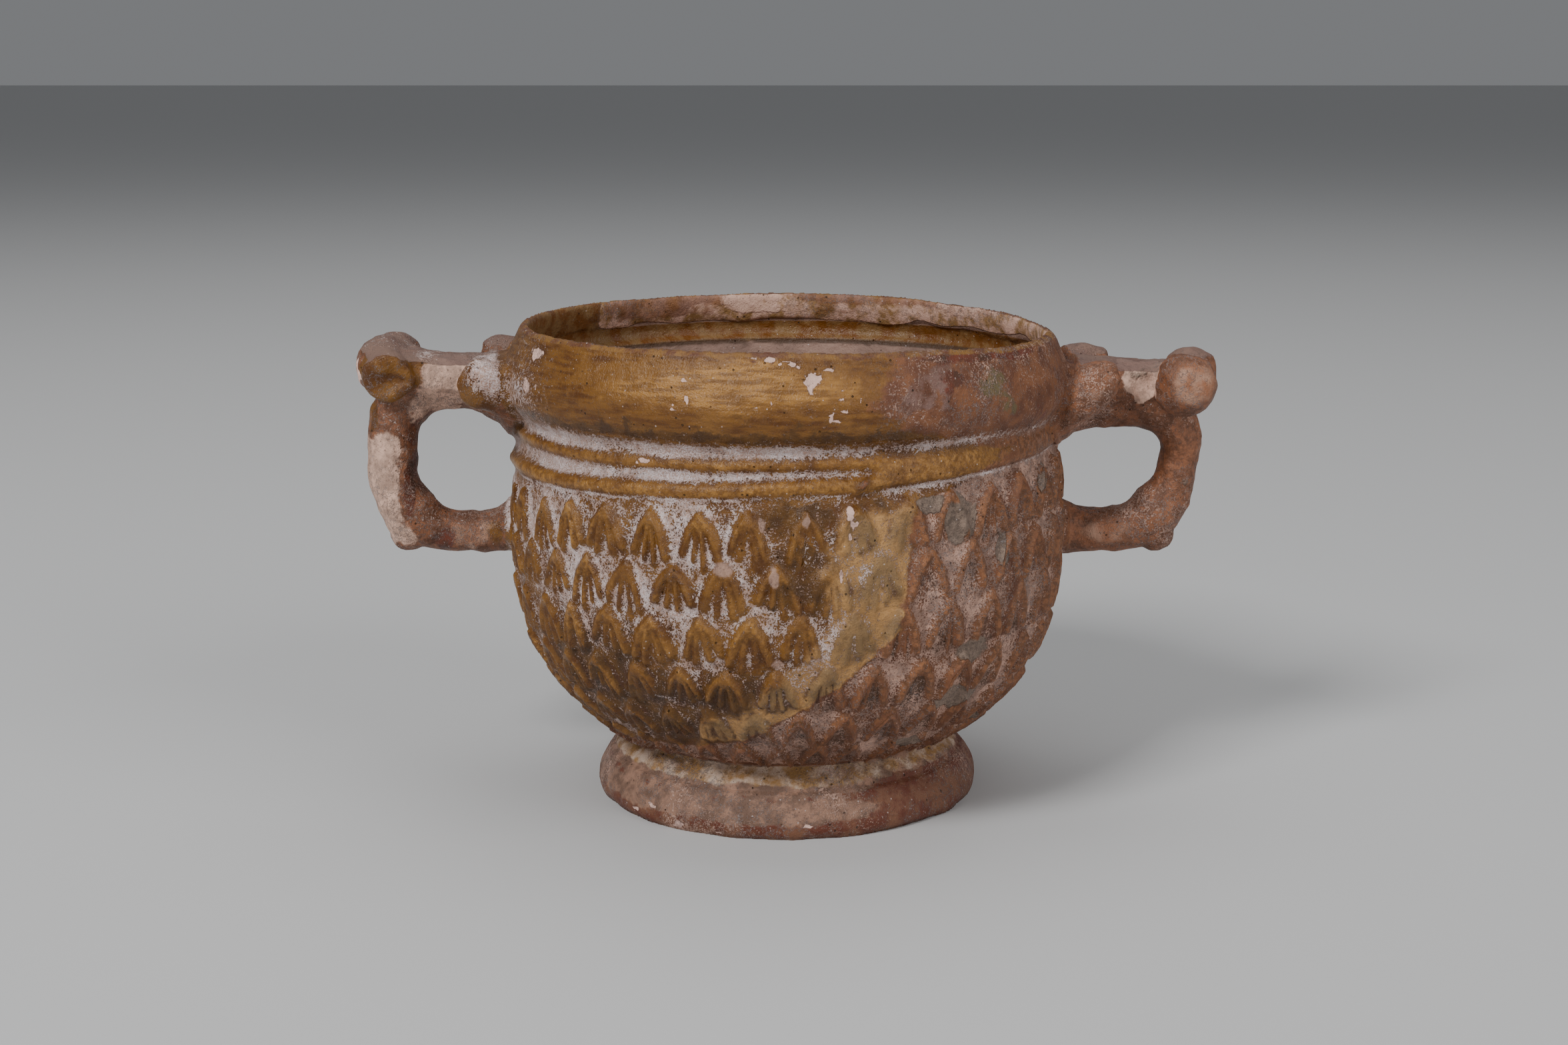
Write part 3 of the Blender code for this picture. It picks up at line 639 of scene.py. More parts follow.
def cordon_field(g):
    """Height in millimetres of the two cordons, which run together on the right."""
    s = g.s
    wobble = 0.18 * cloud(g.co, 9.0, 11)
    lower = s.cordon_z + g.lean + wobble
    upper = s.upper_cordon_z + 0.3 * g.lean + wobble
    tall = s.cordon_height * (1.0 + 0.15 * cloud(g.co, 7.0, 12))
    joined = rise(g.x, 13.0, 16.0) * (g.y < 25.0)
    first = ridge(g.z, lower, 1.3, tall)
    second = ridge(g.z, upper, 1.1, 0.7 * tall)
    broad = tall * rise(g.z, lower - 1.5, lower - 0.3) * fall(g.z, lower + 2.0, lower + 5.5)
    fold_x = g.x - 12.0 - 0.55 * (g.z - 65.2)
    fold = 0.8 * np.exp(-((fold_x / 0.7) ** 2 + ((g.z - 65.2) / 1.7) ** 2)) * (g.y < 0)
    return np.maximum(first, second) * (1 - joined) + broad * joined + fold


def inner_side(g):
    """1 on the inside of the bowl and of the rim, 0 elsewhere."""
    edge = np.interp(g.z, (80.0, 82.4, 84.8, 86.5, 87.4), (49.4, 49.0, 48.1, 47.7, 47.3))
    return ((g.radius < edge) & (g.z > 14.0) & (g.outward < 0.3)).astype(float)


def press_relief(cup, s):
    """Presses scales, cordons and the foot's line into the blank, and lets hand and fire disturb it."""
    co, normals = coordinates(cup), directions(cup)
    g = Ground(co, normals, s)
    inside_line = inner_line(s)[::-1]
    limit = np.interp(g.z, inside_line[:, 1], inside_line[:, 0])
    inner = (g.radius < limit - 0.05) & (g.z > s.floor_z + 6.0) & (g.z < 83.0) & (g.radius > 30.0)
    factor = np.where(inner, limit / np.maximum(g.radius, 1.0), 1.0)
    co[:, 0] *= factor
    co[:, 1] *= factor

    lift = np.zeros(len(co))
    lift += g.skin * s.scale_relief * scale_field(g)[0]
    lift += g.skin * cordon_field(g) * rise(g.z, 60.0, 62.0)
    foot = g.skin * (g.z < 12.0)
    lift -= foot * 0.42 * np.exp(-(((g.z - 8.3 - 0.15 * cloud(co, 12.0, 5)) / 0.42) ** 2))
    lift += foot * 0.22 * cloud(co, 5.0, 6)
    lift -= g.skin * 0.12 * rise(spots(g, CHIPS), -0.1, 0.25)
    handle = rise(g.proud, 0.8, 2.5)
    lift += handle * (0.42 * cloud(co, 6.0, 7) + 0.28 * cloud(co, 2.6, 8) + 0.12 * cloud(co, 1.2, 18))
    lift += (1 - handle) * (0.18 * cloud(co, 13.0, 1) + 0.09 * cloud(co, 3.6, 2) + 0.04 * cloud(co, 1.3, 19))
    rough = g.skin * rise(g.z, 13.0, 15.0) * fall(g.z, 62.0, 65.0)
    lift += rough * (0.10 * cloud(co, 2.1, 51) + 0.08 * cloud(co, 1.1, 52))
    crusted = inner_side(g) * rise(g.z - 82.2 - 0.9 * cloud(co, 6.0, 31), -0.2, 0.3)
    lift += crusted * (0.30 + 0.20 * cloud(co, 3.0, 53))
    eye = np.hypot(g.wx + 71.2, g.wz - 77.9)
    disc = 0.45 * np.exp(-((eye / 2.0) ** 4)) - 0.3 * hump(eye, 3.1, 0.8)
    lift -= (g.y < -8.0) * (g.x < -60.0) * disc
    patch = np.hypot((g.wx - 63.9) / 3.4, (g.wz - 77.2) / 3.6)
    lift -= (g.y < -3.0) * (g.x > 58.0) * 0.5 * fall(patch, 0.7, 1.1)
    band = g.skin * rise(g.z, 71.5, 73.0)
    lift += band * 0.05 * cloud(co * np.array((0.15, 0.15, 1.0)), 0.8, 9)
    set_coordinates(cup, co + normals * lift[:, None])

    co = coordinates(cup)
    upper = rise(co[:, 2], 66.0, s.cup_height)
    right = np.maximum(0.0, co[:, 0] / s.lip_radius) ** 2 * (np.hypot(co[:, 0], co[:, 1]) < 52.5)
    co[:, 2] -= upper * (s.lip_sag * np.minimum(right, 1.0) - s.lip_lean * co[:, 1])
    co[:, 2] = np.where(co[:, 2] < 0.35, 0.0, co[:, 2])
    low, high = (np.array(corner) / MM for corner in CAD_BOX)
    set_coordinates(cup, np.clip(co, low + 0.02, high - 0.02) * (1, 1, 0) + np.clip(co, low, high - 0.02) * (0, 0, 1))


def blank_cup(s):
    """The cup before its relief: turned body, handles luted on, seams smeared with a wet finger."""
    foot, upper = outer_line(s)
    under = eased_line(UNDERSIDE[::-1], 1.5)
    line = np.concatenate((under, foot[1:], upper, inner_line(s)))
    body = turned_body("cup_body", line)
    handles = join(left_handle() + right_handle(), "handles")
    cup = join([body, handles], "fired_cup")
    apply_modifier(cup, "REMESH", mode="VOXEL", voxel_size=VOXEL * MM, adaptivity=0.0)
    co = coordinates(cup)
    g = np.hypot(co[:, 0], co[:, 1])
    foot_and_upper = np.concatenate((foot, upper))
    proud = g - np.interp(co[:, 2], foot_and_upper[:, 1], foot_and_upper[:, 0])
    near_handle = rise(np.abs(co[:, 0]), 38.0, 44.0) * fall(np.abs(co[:, 1]), 15.0, 19.0)
    weight = np.where(proud > -1.6, near_handle * rise(co[:, 2], 38.0, 42.0), 0.0)
    group = cup.vertex_groups.new(name="smeared")
    for step in np.unique(np.round(weight, 1)):
        if step > 0:
            group.add(np.nonzero(np.round(weight, 1) == step)[0].tolist(), float(step), "REPLACE")
    apply_modifier(cup, "SMOOTH", factor=0.5, iterations=JOINT_SMOOTHING, vertex_group="smeared")
    apply_modifier(cup, "SMOOTH", factor=0.5, iterations=2)
    return cup


def thin_out(cup):
    """Fewer faces, most of them kept where the relief is."""
    faces = sum(len(p.vertices) - 2 for p in cup.data.polygons)
    if faces > FACE_LIMIT:
        apply_modifier(cup, "DECIMATE", ratio=FACE_LIMIT / faces, use_collapse_triangulate=True)


# Where each finish lies


def blob(g, x, z, wide, tall):
    """1 at one place of the front, dying away around it."""
    away = ((g.wx - x) / wide) ** 2 + ((g.wz - z) / tall) ** 2
    return np.exp(-away) * fall(g.y, -6.0, 8.0)


def blobs(g, places):
    """Soft places of the front added up, each as (strength, sideways, height, half width, half height)."""
    return sum(strength * blob(g, *place) for strength, *place in places)


class Zones:
    """The parts of the cup that a finish keeps to, as shares from 0 to 1, and two slow noises."""

    def __init__(self, g):
        self.front = fall(g.y, -5.0, 12.0)
        self.inner = inner_side(g)
        self.handle = rise(g.proud, 0.9, 2.6) * (1 - self.inner)
        self.left = self.handle * (g.x < 0)
        self.right = self.handle * (g.x > 0)
        self.skin = (1 - self.inner) * (1 - self.handle)
        self.foot = fall(g.z, 11.6, 12.6) * (g.radius > 20.0) * (g.outward > -0.6)
        under_cordon = g.z - g.lean
        self.scales = rise(g.z, 12.2, 13.2) * fall(under_cordon, 63.0, 64.0) * self.skin
        self.neck = rise(under_cordon, 62.8, 63.8) * fall(g.z, 71.4, 72.6) * self.skin
        self.band = rise(g.z, 71.4, 72.6) * self.skin
        self.matt = rise(g.matt, -1.0, 1.0) * self.skin
        self.low = fall(g.z, 28.0, 42.0)
        self.sweep = cloud(g.co, 9.0, 13)
        self.wash = cloud(g.co, 5.0, 14)
        self.relief, self.near = scale_field(g)
        tall = cordon_field(g) / g.s.cordon_height
        self.cordons = np.clip(tall, 0, 1.2) * rise(g.z, 60.0, 62.0)
        self.ridges = np.clip(self.cordons, 0, 1)


def glaze_fields(g, m):
    """The amber side: thin glaze and painted highlight, pooled glaze and painted shade, olive patch, silver skin in
    hollows.
    """
    pools = spots(g, DARK_POOLS)
    # Thin glaze on the ribs and cordons, partly painted highlight on their crests
    thin_glaze_and_highlight = (0.55 * m.relief + 0.15 * rise(m.sweep, 0.0, 0.8)) * m.scales + 0.7 * m.ridges * m.neck
    back_pools = 0.4 * (1.0 - m.front) * rise(cloud(g.co, 22.0, 21), 0.0, 0.8)
    # Darker on the band's lower part, where it turns under: painted shade
    painted_shade_under_band = 0.65 * hump(g.z, 73.2, 1.3) + 0.3 * hump(g.z, 76.0, 2.5)
    thick = np.clip(0.42 + 0.5 * pools, 0.0, 0.8) - 0.4 * m.relief * m.scales + 0.12 * m.front * m.scales * m.low
    beside_matt = rise(g.matt + 3.0 * m.sweep + 1.5 * m.wash, -17.0, -6.0) * fall(g.matt, -0.8, 0.8)
    olive_rows = rise(g.z, 17.0, 21.0) * fall(g.z, 56.0, 66.0)
    olive = m.skin * beside_matt * olive_rows * m.front

    hollows = np.clip(1.0 - 2.6 * m.relief, 0.0, 1.0) * m.scales + np.clip(1.0 - 1.5 * m.cordons, 0.0, 1.0) * m.neck
    silver = hollows * (0.35 + 0.5 * m.near * (m.scales > 0.5) + 0.34 * (m.neck > 0.5))
    silver *= (
        0.8 + 0.17 * rise(g.z, 38.0, 50.0) + 0.45 * m.sweep + 0.25 * m.wash
        - 0.75 * rise(g.matt, -9.0, 0.0) * m.scales
    )
    silver *= 1.0 - (0.3 + 0.35 * rise(g.z, 40.0, 46.0)) * np.clip(pools + 0.6, 0, 1)
    return {
        "light": m.skin * (thin_glaze_and_highlight + m.band * (blobs(g, PAINTED_BAND_HIGHLIGHT) + 0.14)),
        "dark": m.skin * (thick + m.band * painted_shade_under_band + back_pools) * (1 - m.matt),
        "olive": olive,
        "olive_scale": olive * np.clip(0.1 + 0.8 * m.near, 0, 1),
        "silver": silver * 1.25
        + m.band * m.front * (0.30 * hump(g.x, -44.0, 4.0) + 0.25 * hump(g.z, 72.4, 0.9))
        + m.band * blobs(g, SILVER_BAND),
    }


def matt_fields(g, m):
    """The matt side: decayed glaze, its crests, burial crust, and the pinkish deposit that lies all over."""
    # The edge of the matt side is soft on the band and crisp on the bowl
    reach = np.where(g.z > 62.0, 16.0 + 14.0 * rise(g.z, 66.0, 74.0), 12.0)
    inside_scale = m.near * (1 - np.clip(1.6 * m.relief, 0, 1))
    between = 1 - np.clip(1.3 * m.relief, 0, 1)
    return {
        "matt": np.clip(0.5 + g.matt / reach, 0.0, 1.0) * m.skin,
        "crest": m.matt * m.scales * np.clip(1.4 * m.relief - 0.05 + 0.15 * m.wash, 0, 1)
        + m.matt * m.neck * m.ridges * 0.8,
        "shade": m.scales * np.clip(1.4 * inside_scale - 0.1, 0, 1) * (0.5 + 0.3 * m.matt + 0.35 * m.low),
        "crust": m.matt * m.scales * (0.66 * inside_scale * (0.85 + 0.4 * m.sweep))
        + np.clip(0.5 + 0.7 * spots(g, CRUST_PATCHES), 0.0, 0.9) * m.skin
        + 0.42 * m.right * rise(m.wash, 0.1, 0.7),
        "haze": m.matt * m.scales * (0.22 + 0.5 * between + 0.25 * m.wash)
        + 0.55 * m.neck * (1 - m.ridges) + 0.25 * m.matt * m.neck
        + m.matt * m.band * (0.35 + 0.2 * m.wash)
        + m.skin * m.foot * (0.34 + 0.35 * m.sweep),
        "pink": np.clip(0.5 + 0.6 * spots(g, PINK_SPOTS), 0.0, 0.9) * m.skin,
    }


def band_fields(g, m):
    """The patches of colour on the rim band."""
    s = g.s
    lip_z = s.cup_height - s.lip_sag * (np.maximum(g.x, 0.0) / s.lip_radius) ** 2
    under_lip = hump(g.z, lip_z - 1.4, 1.0)
    return {
        "purple": m.band * blobs(g, PURPLE_BAND),
        "green": m.band * blobs(g, GREEN_BAND) + m.right * blobs(g, GREEN_HORN),
        "red": m.band * (blobs(g, RED_BAND) + under_lip * blobs(g, RED_LIP))
        + m.left * blobs(g, RED_LEFT)
        + m.band * 0.55 * rise(g.x, 30.0, 40.0) * rise(m.sweep, -0.2, 0.6),
    }


def handle_fields(g, m, upward):
    """The handles: red clay, paler where a hand rubbed it, amber left on the fronts of the left one, and painted
    highlights.
    """
    amber = m.left * (
        rise(-g.y, 5.0, 9.5) * rise(-g.wx, 61.0, 66.0)
        + blobs(g, AMBER_HORN) * rise(-g.y, 6.0, 10.0)
        + blobs(g, AMBER_LEFT)
    )
    outer_face = rise(-g.wx, 67.5, 73.5) * fall(g.wz, 63.5, 70.5) * rise(g.wz, 46.0, 52.0)
    patch = fall(np.hypot((g.wx - 63.9) / 4.0, (g.wz - 77.4) / 4.4), 0.75, 1.2)
    buff = (
        m.left * (1.05 * outer_face + blobs(g, BUFF_WEB) * (1 - 0.7 * amber) + blobs(g, BUFF_LEFT))
        + m.right * 1.3 * patch * (g.y < 0) * (g.y > -9.0)
    )
    rubbed = np.clip(buff, 0, 1)
    top = rise(upward, 0.45, 0.75) * rise(g.z, 75.0, 78.0)
    behind_horn = fall(-g.y, 6.5, 9.0)
    grey = np.where(g.x < -60.0, 1.0, np.where(g.x < 0, 0.9, 0.75) * behind_horn)
    return {
        "handle": m.handle,
        "pale_flesh": m.right * blobs(g, PALE_RIGHT) + m.left * blobs(g, PALE_LEFT),
        "amber_flesh": amber,
        "buff": buff,
        # Partly silver skin, partly painted highlight on the front knob and the plate's front edge
        "silver": m.left * (blobs(g, SILVER_AND_HIGHLIGHT_LEFT) + 0.28 * (1 - amber) * (1 - rubbed)),
        "haze": m.right * (0.38 + 0.3 * m.sweep) * (1 - rubbed)
        + m.left * (0.45 + 0.3 * m.sweep) * (1 - amber) * (1 - 0.8 * rubbed),
        "plate_grey": np.clip(m.handle * top, 0, 1) * grey,
        # A bright strip on the left roll's outer edge: painted highlight
        "bright": (np.hypot(g.wx + 78.0, (g.wz - 78.8) / 1.7) < 1.6) * (g.y < -4) * m.left,
    }


def inside_fields(g, m, upward):
    """Inside the rim: an amber strip under a thick crust, which starts a little way from the left handle."""
    crust_end = rise(g.x + 1.5 * m.wash, -39.5, -34.5)
    crust = m.inner * crust_end
    lower_edge = (g.z - 82.2 - 0.9 * cloud(g.co, 6.0, 31)) / 1.2
    return {
        "inside": m.inner,
        "inside_glaze": m.inner * rise(g.z, 77.8, 78.4) * (1 - rise(g.z, 81.2, 82.6) * crust_end),
        "rim_crust": m.inner * np.clip(0.5 + lower_edge, 0, 1.1) * crust_end,
        "rim_red": crust * rise(g.z, 82.0, 83.5)
        * (0.30 + 0.35 * m.sweep + 0.45 * hump(g.x, -25.0, 8.0) + 0.3 * rise(g.z, 85.0, 86.5)),
        "rim_pale": crust * rise(g.z, 82.8, 84.0)
        * (0.1 + 0.3 * m.sweep + 0.6 * hump(g.x, -5.0, 10.0) + 0.22 * rise(g.x, 6.0, 26.0)),
        # A dark line under the inner ledge: painted shadow
        "ledge": m.inner * hump(g.z, 77.9, 0.55),
        "lip": (1 - m.inner * 0.4) * rise(upward, 0.3, 0.8) * rise(g.z, 84.0, 85.5) * (1 - m.handle),
    }


def foot_fields(g, m):
    """The foot: bare clay with a pale collar and redder edges."""
    return {
        "foot": m.foot,
        "foot_light": m.foot * hump(g.z, 10.4, 1.9) * (1.15 - 0.5 * rise(g.x, 6.0, 20.0) + 0.35 * m.sweep),
        "foot_red": m.foot * (
            0.75 * hump(g.z, 1.4, 2.2) + 0.7 * rise(g.x, 8.0, 22.0) * (g.z < 9.0) + 0.55 * hump(g.z, 6.9, 0.8)
        ),
    }


def paint_fields(cup, s):
    """Gives the mesh every mask that the finish reads, as numbers from 0 to 1 on its vertices."""
    normals = directions(cup)
    g = Ground(coordinates(cup), normals, s)
    m = Zones(g)
    upward = normals[:, 2]
    fields = {"band": m.band, "chip": spots(g, CHIPS) * 0.5 + 0.5}
    regions = (
        glaze_fields(g, m), matt_fields(g, m), band_fields(g, m),
        handle_fields(g, m, upward), inside_fields(g, m, upward), foot_fields(g, m),
    )
    for region in regions:
        for name, values in region.items():
            fields[name] = fields.get(name, 0.0) + values
    for name, values in fields.items():
        layer = cup.data.attributes.new(name, "FLOAT", "POINT")
        layer.data.foreach_set("value", np.clip(values, 0.0, 1.0).astype(np.float32))


# Finishes


class Wiring:
    """Adds nodes to one tree and joins them up."""

    def __init__(self, tree):
        self.tree = tree

    def give(self, socket, value):
        """Links a socket to another one, or sets its value."""
        if isinstance(value, bpy.types.NodeSocket):
            self.tree.links.new(value, socket)
        else:
            socket.default_value = value

    def node(self, kind, inputs=(), **settings):
        made = self.tree.nodes.new(kind)
        for name, value in settings.items():
            setattr(made, name, value)
        for key, value in dict(inputs).items():
            self.give(made.inputs[key], value)
        return made

    def math(self, operation, a, b=0.0, c=0.0):
        return self.node("ShaderNodeMath", {0: a, 1: b, 2: c}, operation=operation).outputs[0]

    def times(self, a, b):
        return self.math("MULTIPLY", a, b)

    def less(self, a, b):
        return self.math("SUBTRACT", a, b)

    def most(self, first, *others):
        for other in others:
            first = self.math("MAXIMUM", first, other)
        return first

    def blend(self, share, a, b):
        """Plain numbers from a to b."""
        return self.math("MULTIPLY_ADD", share, self.less(b, a), a)

    def mix(self, share, a, b):
        """Colours from a to b."""
        node = self.node("ShaderNodeMix", data_type="RGBA")
        sockets = {socket.identifier: socket for socket in (*node.inputs, *node.outputs)}
        for key, value in (("Factor_Float", share), ("A_Color", a), ("B_Color", b)):
            self.give(sockets[key], value)
        return sockets["Result_Color"]

    def ramp(self, value, low, high):
        inputs = {"Value": value, "From Min": low, "From Max": high}
        return self.node("ShaderNodeMapRange", inputs, interpolation_type="SMOOTHSTEP").outputs[0]

    def specks(self, where, scale, low, high):
        """1 at scattered points, 0 a little way from them."""
        away = self.node("ShaderNodeTexVoronoi", {"Vector": where, "Scale": scale}).outputs["Distance"]
        return self.less(1.0, self.ramp(away, low, high))

    def noise(self, where, scale, detail, roughness, output="Fac"):
        inputs = {"Vector": where, "Scale": scale, "Detail": detail, "Roughness": roughness}
        return self.node("ShaderNodeTexNoise", inputs).outputs[output]

    def noises(self, where, scale, detail, roughness):
        """Three unlike noises of one grain."""
        colour = self.noise(where, scale, detail, roughness, "Color")
        parts = self.node("ShaderNodeSeparateColor", {"Color": colour}).outputs
        return parts[0], parts[1], parts[2]


def coat_group():
    """One coat over what is under it: a field with a broken edge, two mottled colours, its sheen and thickness."""
    tree = bpy.data.node_groups.new("Weathered coat", "ShaderNodeTree")
    numbers = (
        "Under sheen", "Under height", "Field", "Cover", "Soft", "Edge grain", "Break", "Mottle", "Sheen",
        "Height", "Strength",
    )
    for way, kind, labels in (
        ("INPUT", "Color", ("Under", "Colour A", "Colour B")), ("INPUT", "Float", numbers),
        ("OUTPUT", "Color", ("Colour",)), ("OUTPUT", "Float", ("Sheen", "Height")),
    ):
        for label in labels:
            tree.interface.new_socket(label, in_out=way, socket_type="NodeSocket" + kind)
    given = tree.nodes.new("NodeGroupInput").outputs
    result = tree.nodes.new("NodeGroupOutput").inputs
    w = Wiring(tree)
    value = w.math("MULTIPLY_ADD", w.less(given["Edge grain"], 0.5), given["Break"], given["Field"])
    low = w.less(given["Cover"], given["Soft"])
    high = w.math("ADD", given["Cover"], given["Soft"])
    mask = w.times(w.ramp(value, low, high), given["Strength"])
    colour = w.mix(w.ramp(given["Mottle"], 0.38, 0.62), given["Colour A"], given["Colour B"])
    w.give(result["Colour"], w.mix(mask, given["Under"], colour))
    w.give(result["Sheen"], w.blend(mask, given["Under sheen"], given["Sheen"]))
    w.give(result["Height"], w.math("MULTIPLY_ADD", mask, given["Height"], given["Under height"]))
    return tree


def glazed_clay(colours):
    """Lead glaze over fired clay: amber on the left, decayed and matt on the right, weathered in its hollows."""
    material, shader = new_material("glazed_clay")
    w = Wiring(material.node_tree)
    where = w.node("ShaderNodeTexCoord").outputs["Object"]

    def tone(name, share):
        return tuple(min(1.0, c * share) for c in getattr(colours, name)) + (1.0,)

    def field(name):
        return w.node("ShaderNodeAttribute", attribute_name=name).outputs["Fac"]

    large, large_b, _ = w.noises(where, 85.0, 4.0, 0.6)
    middle, middle_b, middle_c = w.noises(where, 300.0, 5.0, 0.62)
    fine, fine_b, fine_c = w.noises(where, 1100.0, 4.0, 0.65)
    speck = w.noise(where, 3400.0, 2.0, 0.6)
    wiped = w.node("ShaderNodeMapping", {"Vector": where, "Scale": (0.14, 0.14, 1.0)}).outputs[0]
    streaks = w.noise(wiped, 1300.0, 4.0, 0.6)
    crumbs = w.math("MULTIPLY_ADD", w.less(speck, 0.5), 1.5, fine)
    brushed = w.blend(field("band"), fine_b, streaks)
    silvery = w.blend(0.6, middle_b, speck)
    patchy = w.blend(0.5, middle_c, fine_b)
    worn = w.blend(0.4, middle_c, fine)

    thick = w.blend(w.times(field("band"), 0.75), middle, streaks)
    colour = w.mix(w.ramp(thick, 0.36, 0.64), tone("amber_deep", 1), tone("amber", 1))
    colour = w.mix(w.times(w.ramp(large, 0.5, 0.7), 0.5), colour, tone("amber_light", 0.8))
    sheen = w.blend(w.ramp(fine_b, 0.3, 0.7), 0.24, 0.42)
    height = w.times(fine, 0.35)

    # The coats from the glaze outwards: field, colour A and B with their shares, softness of the edge, grain
    # that breaks it and how far, mottle, sheen, thickness, strength, and how much of the field shows
    group = coat_group()
    for name, a, share_a, b, share_b, soft, grain, spread, mottle, gloss, thickness, strength, cover in (
        # light: thin glaze, with painted highlight on the crests, the cordons and the middle of the band
        ("light", "amber_light", 1.12, "amber", 0.9, 0.25, middle_c, 0.9, brushed, 0.32, 0, 1, 0.5),
        # dark: pooled glaze, and painted shade under the band
        ("dark", "pooled_glaze_and_shade", 1.1, "amber", 0.6, 0.12, middle, 1.6, middle_c, 0.28, 0.15, 0.88, 0.5),
        ("olive", "olive", 1.4, "olive", 0.92, 0.25, middle_b, 1.5, middle, 0.4, 0.15, 0.85, 0.5),
        ("olive_scale", "olive_dark", 1, "olive_dark", 0.8, 0.3, middle_c, 1, middle, 0.5, 0.2, 0.75, 0.55),
        ("inside", "haze", 1.1, "haze", 0.75, 0.1, large, 0.1, large_b, 0.7, 0, 1, 0.5),
        ("inside_glaze", "olive", 0.55, "amber_deep", 1.6, 0.15, middle, 0.4, middle_b, 0.32, 0.1, 1, 0.5),
        ("rim_crust", "haze", 2.1, "olive", 0.75, 0.08, middle, 0.5, middle_b, 0.8, 0.4, 1, 0.5),
        ("rim_red", "matt_orange", 1.1, "matt_brown", 1.8, 0.12, middle_c, 0.8, middle, 0.6, 0.1, 0.75, 0.5),
        ("rim_pale", "buff", 1.35, "haze", 2, 0.1, middle, 1.1, fine, 0.7, 0.3, 0.85, 0.5),
        ("matt", "matt_orange", 1, "matt_brown", 1.6, 0.05, middle, 0.45, middle_c, 0.6, 0.15, 1, 0.5),
        ("foot", "foot_clay", 1.22, "foot_clay", 0.55, 0.1, middle, 0.3, middle_c, 0.66, 0, 1, 0.5),
        ("foot_red", "flesh", 0.65, "red", 0.85, 0.07, middle_b, 1.1, middle_c, 0.55, 0.1, 0.85, 0.5),
        ("foot_light", "crust", 2, "olive", 0.8, 0.1, middle, 1.1, middle_b, 0.8, 0.2, 1, 0.5),
        ("shade", "pooled_glaze_and_shade", 1.1, "matt_brown", 1, 0.14, middle_b, 0.9, middle, 0.5, 0, 0.8, 0.5),
        ("handle", "flesh", 1.1, "flesh", 0.42, 0.2, middle, 0.3, patchy, 0.5, 0, 1, 0.5),
        ("pale_flesh", "foot_clay", 1.5, "flesh", 1.15, 0.2, middle_b, 0.6, middle, 0.5, 0, 1, 0.5),
        ("crest", "crest", 1.2, "crest", 0.6, 0.12, middle_c, 0.8, fine_b, 0.42, 0, 1, 0.55),
        ("purple", "purple", 1, "matt_brown", 1.4, 0.08, middle_b, 1.1, middle, 0.75, 0.1, 0.9, 0.5),
        ("green", "green", 1, "green", 0.6, 0.1, middle_c, 1.2, fine, 0.6, 0, 0.7, 0.5),
        ("red", "red", 1, "matt_brown", 0.8, 0.07, middle_c, 0.9, middle, 0.5, 0, 0.9, 0.5),
        ("amber_flesh", "amber", 1, "amber_deep", 1.1, 0.1, middle_b, 0.6, middle, 0.35, 0.1, 1, 0.5),
        ("ledge", "pooled_glaze_and_shade", 1, "pooled_glaze_and_shade", 1, 0.3, middle, 0.3, middle, 0.5, -0.2, 0.9, 0.5),
        ("lip", "amber_light", 0.7, "matt_brown", 1.5, 0.12, middle_b, 0.7, middle, 0.45, 0, 1, 0.5),
        ("buff", "buff", 1.5, "buff", 0.8, 0.1, middle, 1.3, worn, 0.85, 0.35, 1, 0.5),
        ("haze", "haze", 1.9, "haze", 0.95, 0.14, crumbs, 1.2, middle_b, 0.8, 0.2, 0.82, 0.56),
        ("plate_grey", "purple", 0.8, "haze", 0.7, 0.1, middle_c, 0.7, large, 0.75, 0.2, 0.9, 0.5),
        ("silver", "silver", 1.2, "haze", 1.3, 0.12, crumbs, 1.4, silvery, 0.75, 0.35, 0.9, 0.5),
        ("crust", "crust", 1, "crust", 0.6, 0.07, middle, 0.8, fine, 0.9, 0.9, 0.9, 0.5),
        ("pink", "haze", 1.35, "haze", 1.1, 0.12, fine_c, 0.5, fine, 0.7, 0, 0.8, 0.5),
        ("chip", "clay", 1, "clay", 0.85, 0.03, fine_b, 0.85, fine, 0.9, -1, 1, 0.5),
        ("bright", "clay", 1.3, "clay", 1.2, 0.03, fine_b, 0.4, fine, 0.9, -0.8, 1, 0.5),
    ):
        coat = w.node("ShaderNodeGroup", node_tree=group)
        for key, value in {
            "Under": colour, "Under sheen": sheen, "Under height": height, "Colour A": tone(a, share_a),
            "Colour B": tone(b, share_b), "Field": field(name), "Cover": cover, "Soft": soft, "Edge grain": grain,
            "Break": spread, "Mottle": mottle, "Sheen": gloss, "Height": thickness, "Strength": strength,
        }.items():
            w.give(coat.inputs[key], value)
        colour, sheen, height = coat.outputs["Colour"], coat.outputs["Sheen"], coat.outputs["Height"]

    # Broken edges of thin flakes: narrow pale lines where a noise crosses its middle
    flaking = w.most(field("matt"), field("handle"), field("foot"), field("rim_crust"))
    off_edge = w.ramp(w.math("ABSOLUTE", w.less(patchy, 0.5)), 0.003, 0.012)
    edges = w.times(w.times(w.less(1.0, off_edge), w.ramp(large_b, 0.45, 0.6)), flaking)
    colour = w.mix(w.times(edges, 0.55), colour, tone("silver", 1))
    height = w.math("MULTIPLY_ADD", edges, 0.5, height)

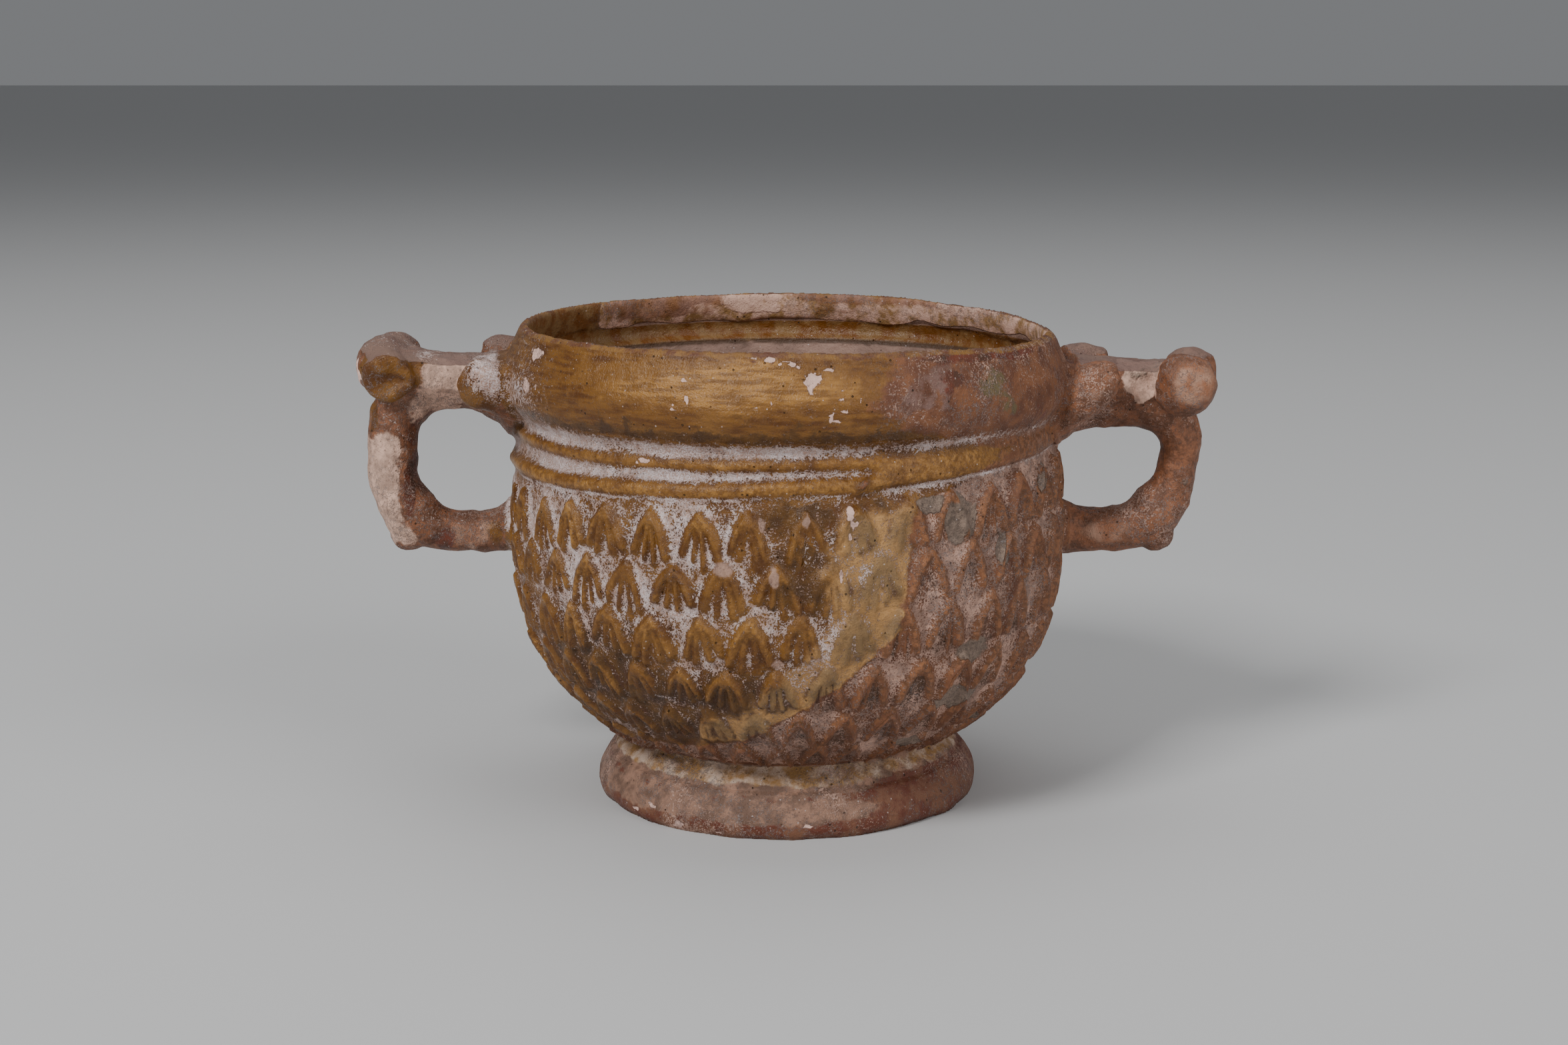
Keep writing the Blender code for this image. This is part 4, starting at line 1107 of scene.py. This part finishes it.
    pits = w.times(w.specks(where, 560.0, 0.06, 0.13), w.ramp(middle_b, 0.50, 0.58))
    colour = w.mix(w.times(pits, 0.75), colour, tone("pooled_glaze_and_shade", 0.5))
    flecks = w.times(w.specks(where, 640.0, 0.05, 0.11), w.ramp(large, 0.44, 0.54))
    colour = w.mix(w.times(flecks, 0.7), colour, tone("silver", 1))
    height = w.less(height, pits)
    height = w.math("MULTIPLY_ADD", middle_c, 0.9, height)
    height = w.math("MULTIPLY_ADD", speck, 0.22, height)
    bump = w.node("ShaderNodeBump", {"Height": height, "Strength": 0.9, "Distance": 0.0006}).outputs[0]

    for key, value in (
        ("Base Color", colour), ("Roughness", sheen), ("Normal", bump), ("Metallic", 0.0), ("Specular IOR Level", 0.4),
    ):
        w.give(shader.inputs[key], value)
    return material


def new_material(name):
    material = bpy.data.materials.new(name)
    material.use_nodes = True
    return material, material.node_tree.nodes["Principled BSDF"]


def plain_material(name, colour, roughness):
    material, shader = new_material(name)
    shader.inputs["Base Color"].default_value = (*colour, 1.0)
    shader.inputs["Roughness"].default_value = roughness
    return material


# Steps, panel and registration


class SKYPHOS_OT_fired_cup(Operator):
    """Builds the cup: turned body, luted handles, pressed relief, glaze and weathering"""

    bl_idname = "skyphos.fired_cup"
    bl_label = "Fired cup"

    def execute(self, context):
        s = lengths(context.scene.skyphos_sizes)
        cup = blank_cup(s)
        press_relief(cup, s)
        thin_out(cup)
        cup.vertex_groups.clear()
        paint_fields(cup, s)
        cup.data.materials.clear()
        cup.data.materials.append(glazed_clay(context.scene.skyphos_colours))
        take(cup)
        bpy.ops.object.shade_smooth()
        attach(cup, "root")
        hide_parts("skyphos")
        return {"FINISHED"}


class SKYPHOS_OT_stage(Operator):
    """Sets the plain pale floor, the soft lights and the camera"""

    bl_idname = "skyphos.stage"
    bl_label = "Stage"

    def execute(self, context):
        deselect()
        bpy.ops.mesh.primitive_plane_add(size=60.0)
        floor = context.object
        floor.name = "floor"
        floor.data.materials.append(plain_material("pale_floor", (0.58, 0.58, 0.58), 0.9))
        for name, place, energy, size in LIGHTS:
            bpy.ops.object.light_add(type="AREA", location=place)
            light = context.object
            light.name = name
            light.data.energy = energy
            light.data.size = size
            light.rotation_euler = (Vector(LIGHTS_AIM) - Vector(place)).to_track_quat("-Z", "Y").to_euler()
        world = bpy.data.worlds.new("studio")
        world.use_nodes = True
        background = world.node_tree.nodes["Background"].inputs
        background["Color"].default_value = (0.8, 0.82, 0.85, 1.0)
        background["Strength"].default_value = 0.24
        context.scene.world = world
        bpy.ops.object.camera_add(location=CAMERA_PLACE, rotation=(pi / 2 - CAMERA_TILT, 0.0, 0.0))
        camera = context.object
        camera.name = "camera"
        camera.data.sensor_width = SENSOR_WIDTH
        camera.data.lens = SENSOR_WIDTH * FOCAL_LENGTH / PHOTO_WIDTH
        camera.data.clip_start = 0.01
        context.scene.camera = camera
        return {"FINISHED"}


class SKYPHOS_PT_panel(Panel):
    """Sizes, colours and the steps that make the cup."""

    bl_idname = "SKYPHOS_PT_panel"
    bl_label = "Skyphos"
    bl_space_type = "VIEW_3D"
    bl_region_type = "UI"
    bl_category = "Skyphos"

    def draw(self, context):
        for settings in (context.scene.skyphos_sizes, context.scene.skyphos_colours):
            column = self.layout.column()
            for name in type(settings).__annotations__:
                column.prop(settings, name)
        for step in STEPS:
            self.layout.operator(step.bl_idname)


STEPS = (SKYPHOS_OT_fired_cup, SKYPHOS_OT_stage)
CLASSES = (SkyphosSizes, SkyphosColours, *STEPS, SKYPHOS_PT_panel)


def register():
    for each in CLASSES:
        bpy.utils.register_class(each)
    bpy.types.Scene.skyphos_sizes = PointerProperty(type=SkyphosSizes)
    bpy.types.Scene.skyphos_colours = PointerProperty(type=SkyphosColours)


def unregister():
    del bpy.types.Scene.skyphos_colours
    del bpy.types.Scene.skyphos_sizes
    for each in reversed(CLASSES):
        bpy.utils.unregister_class(each)


def main():
    register()
    bpy.ops.skyphos.fired_cup()
    bpy.ops.skyphos.stage()


if __name__ == "__main__":
    main()
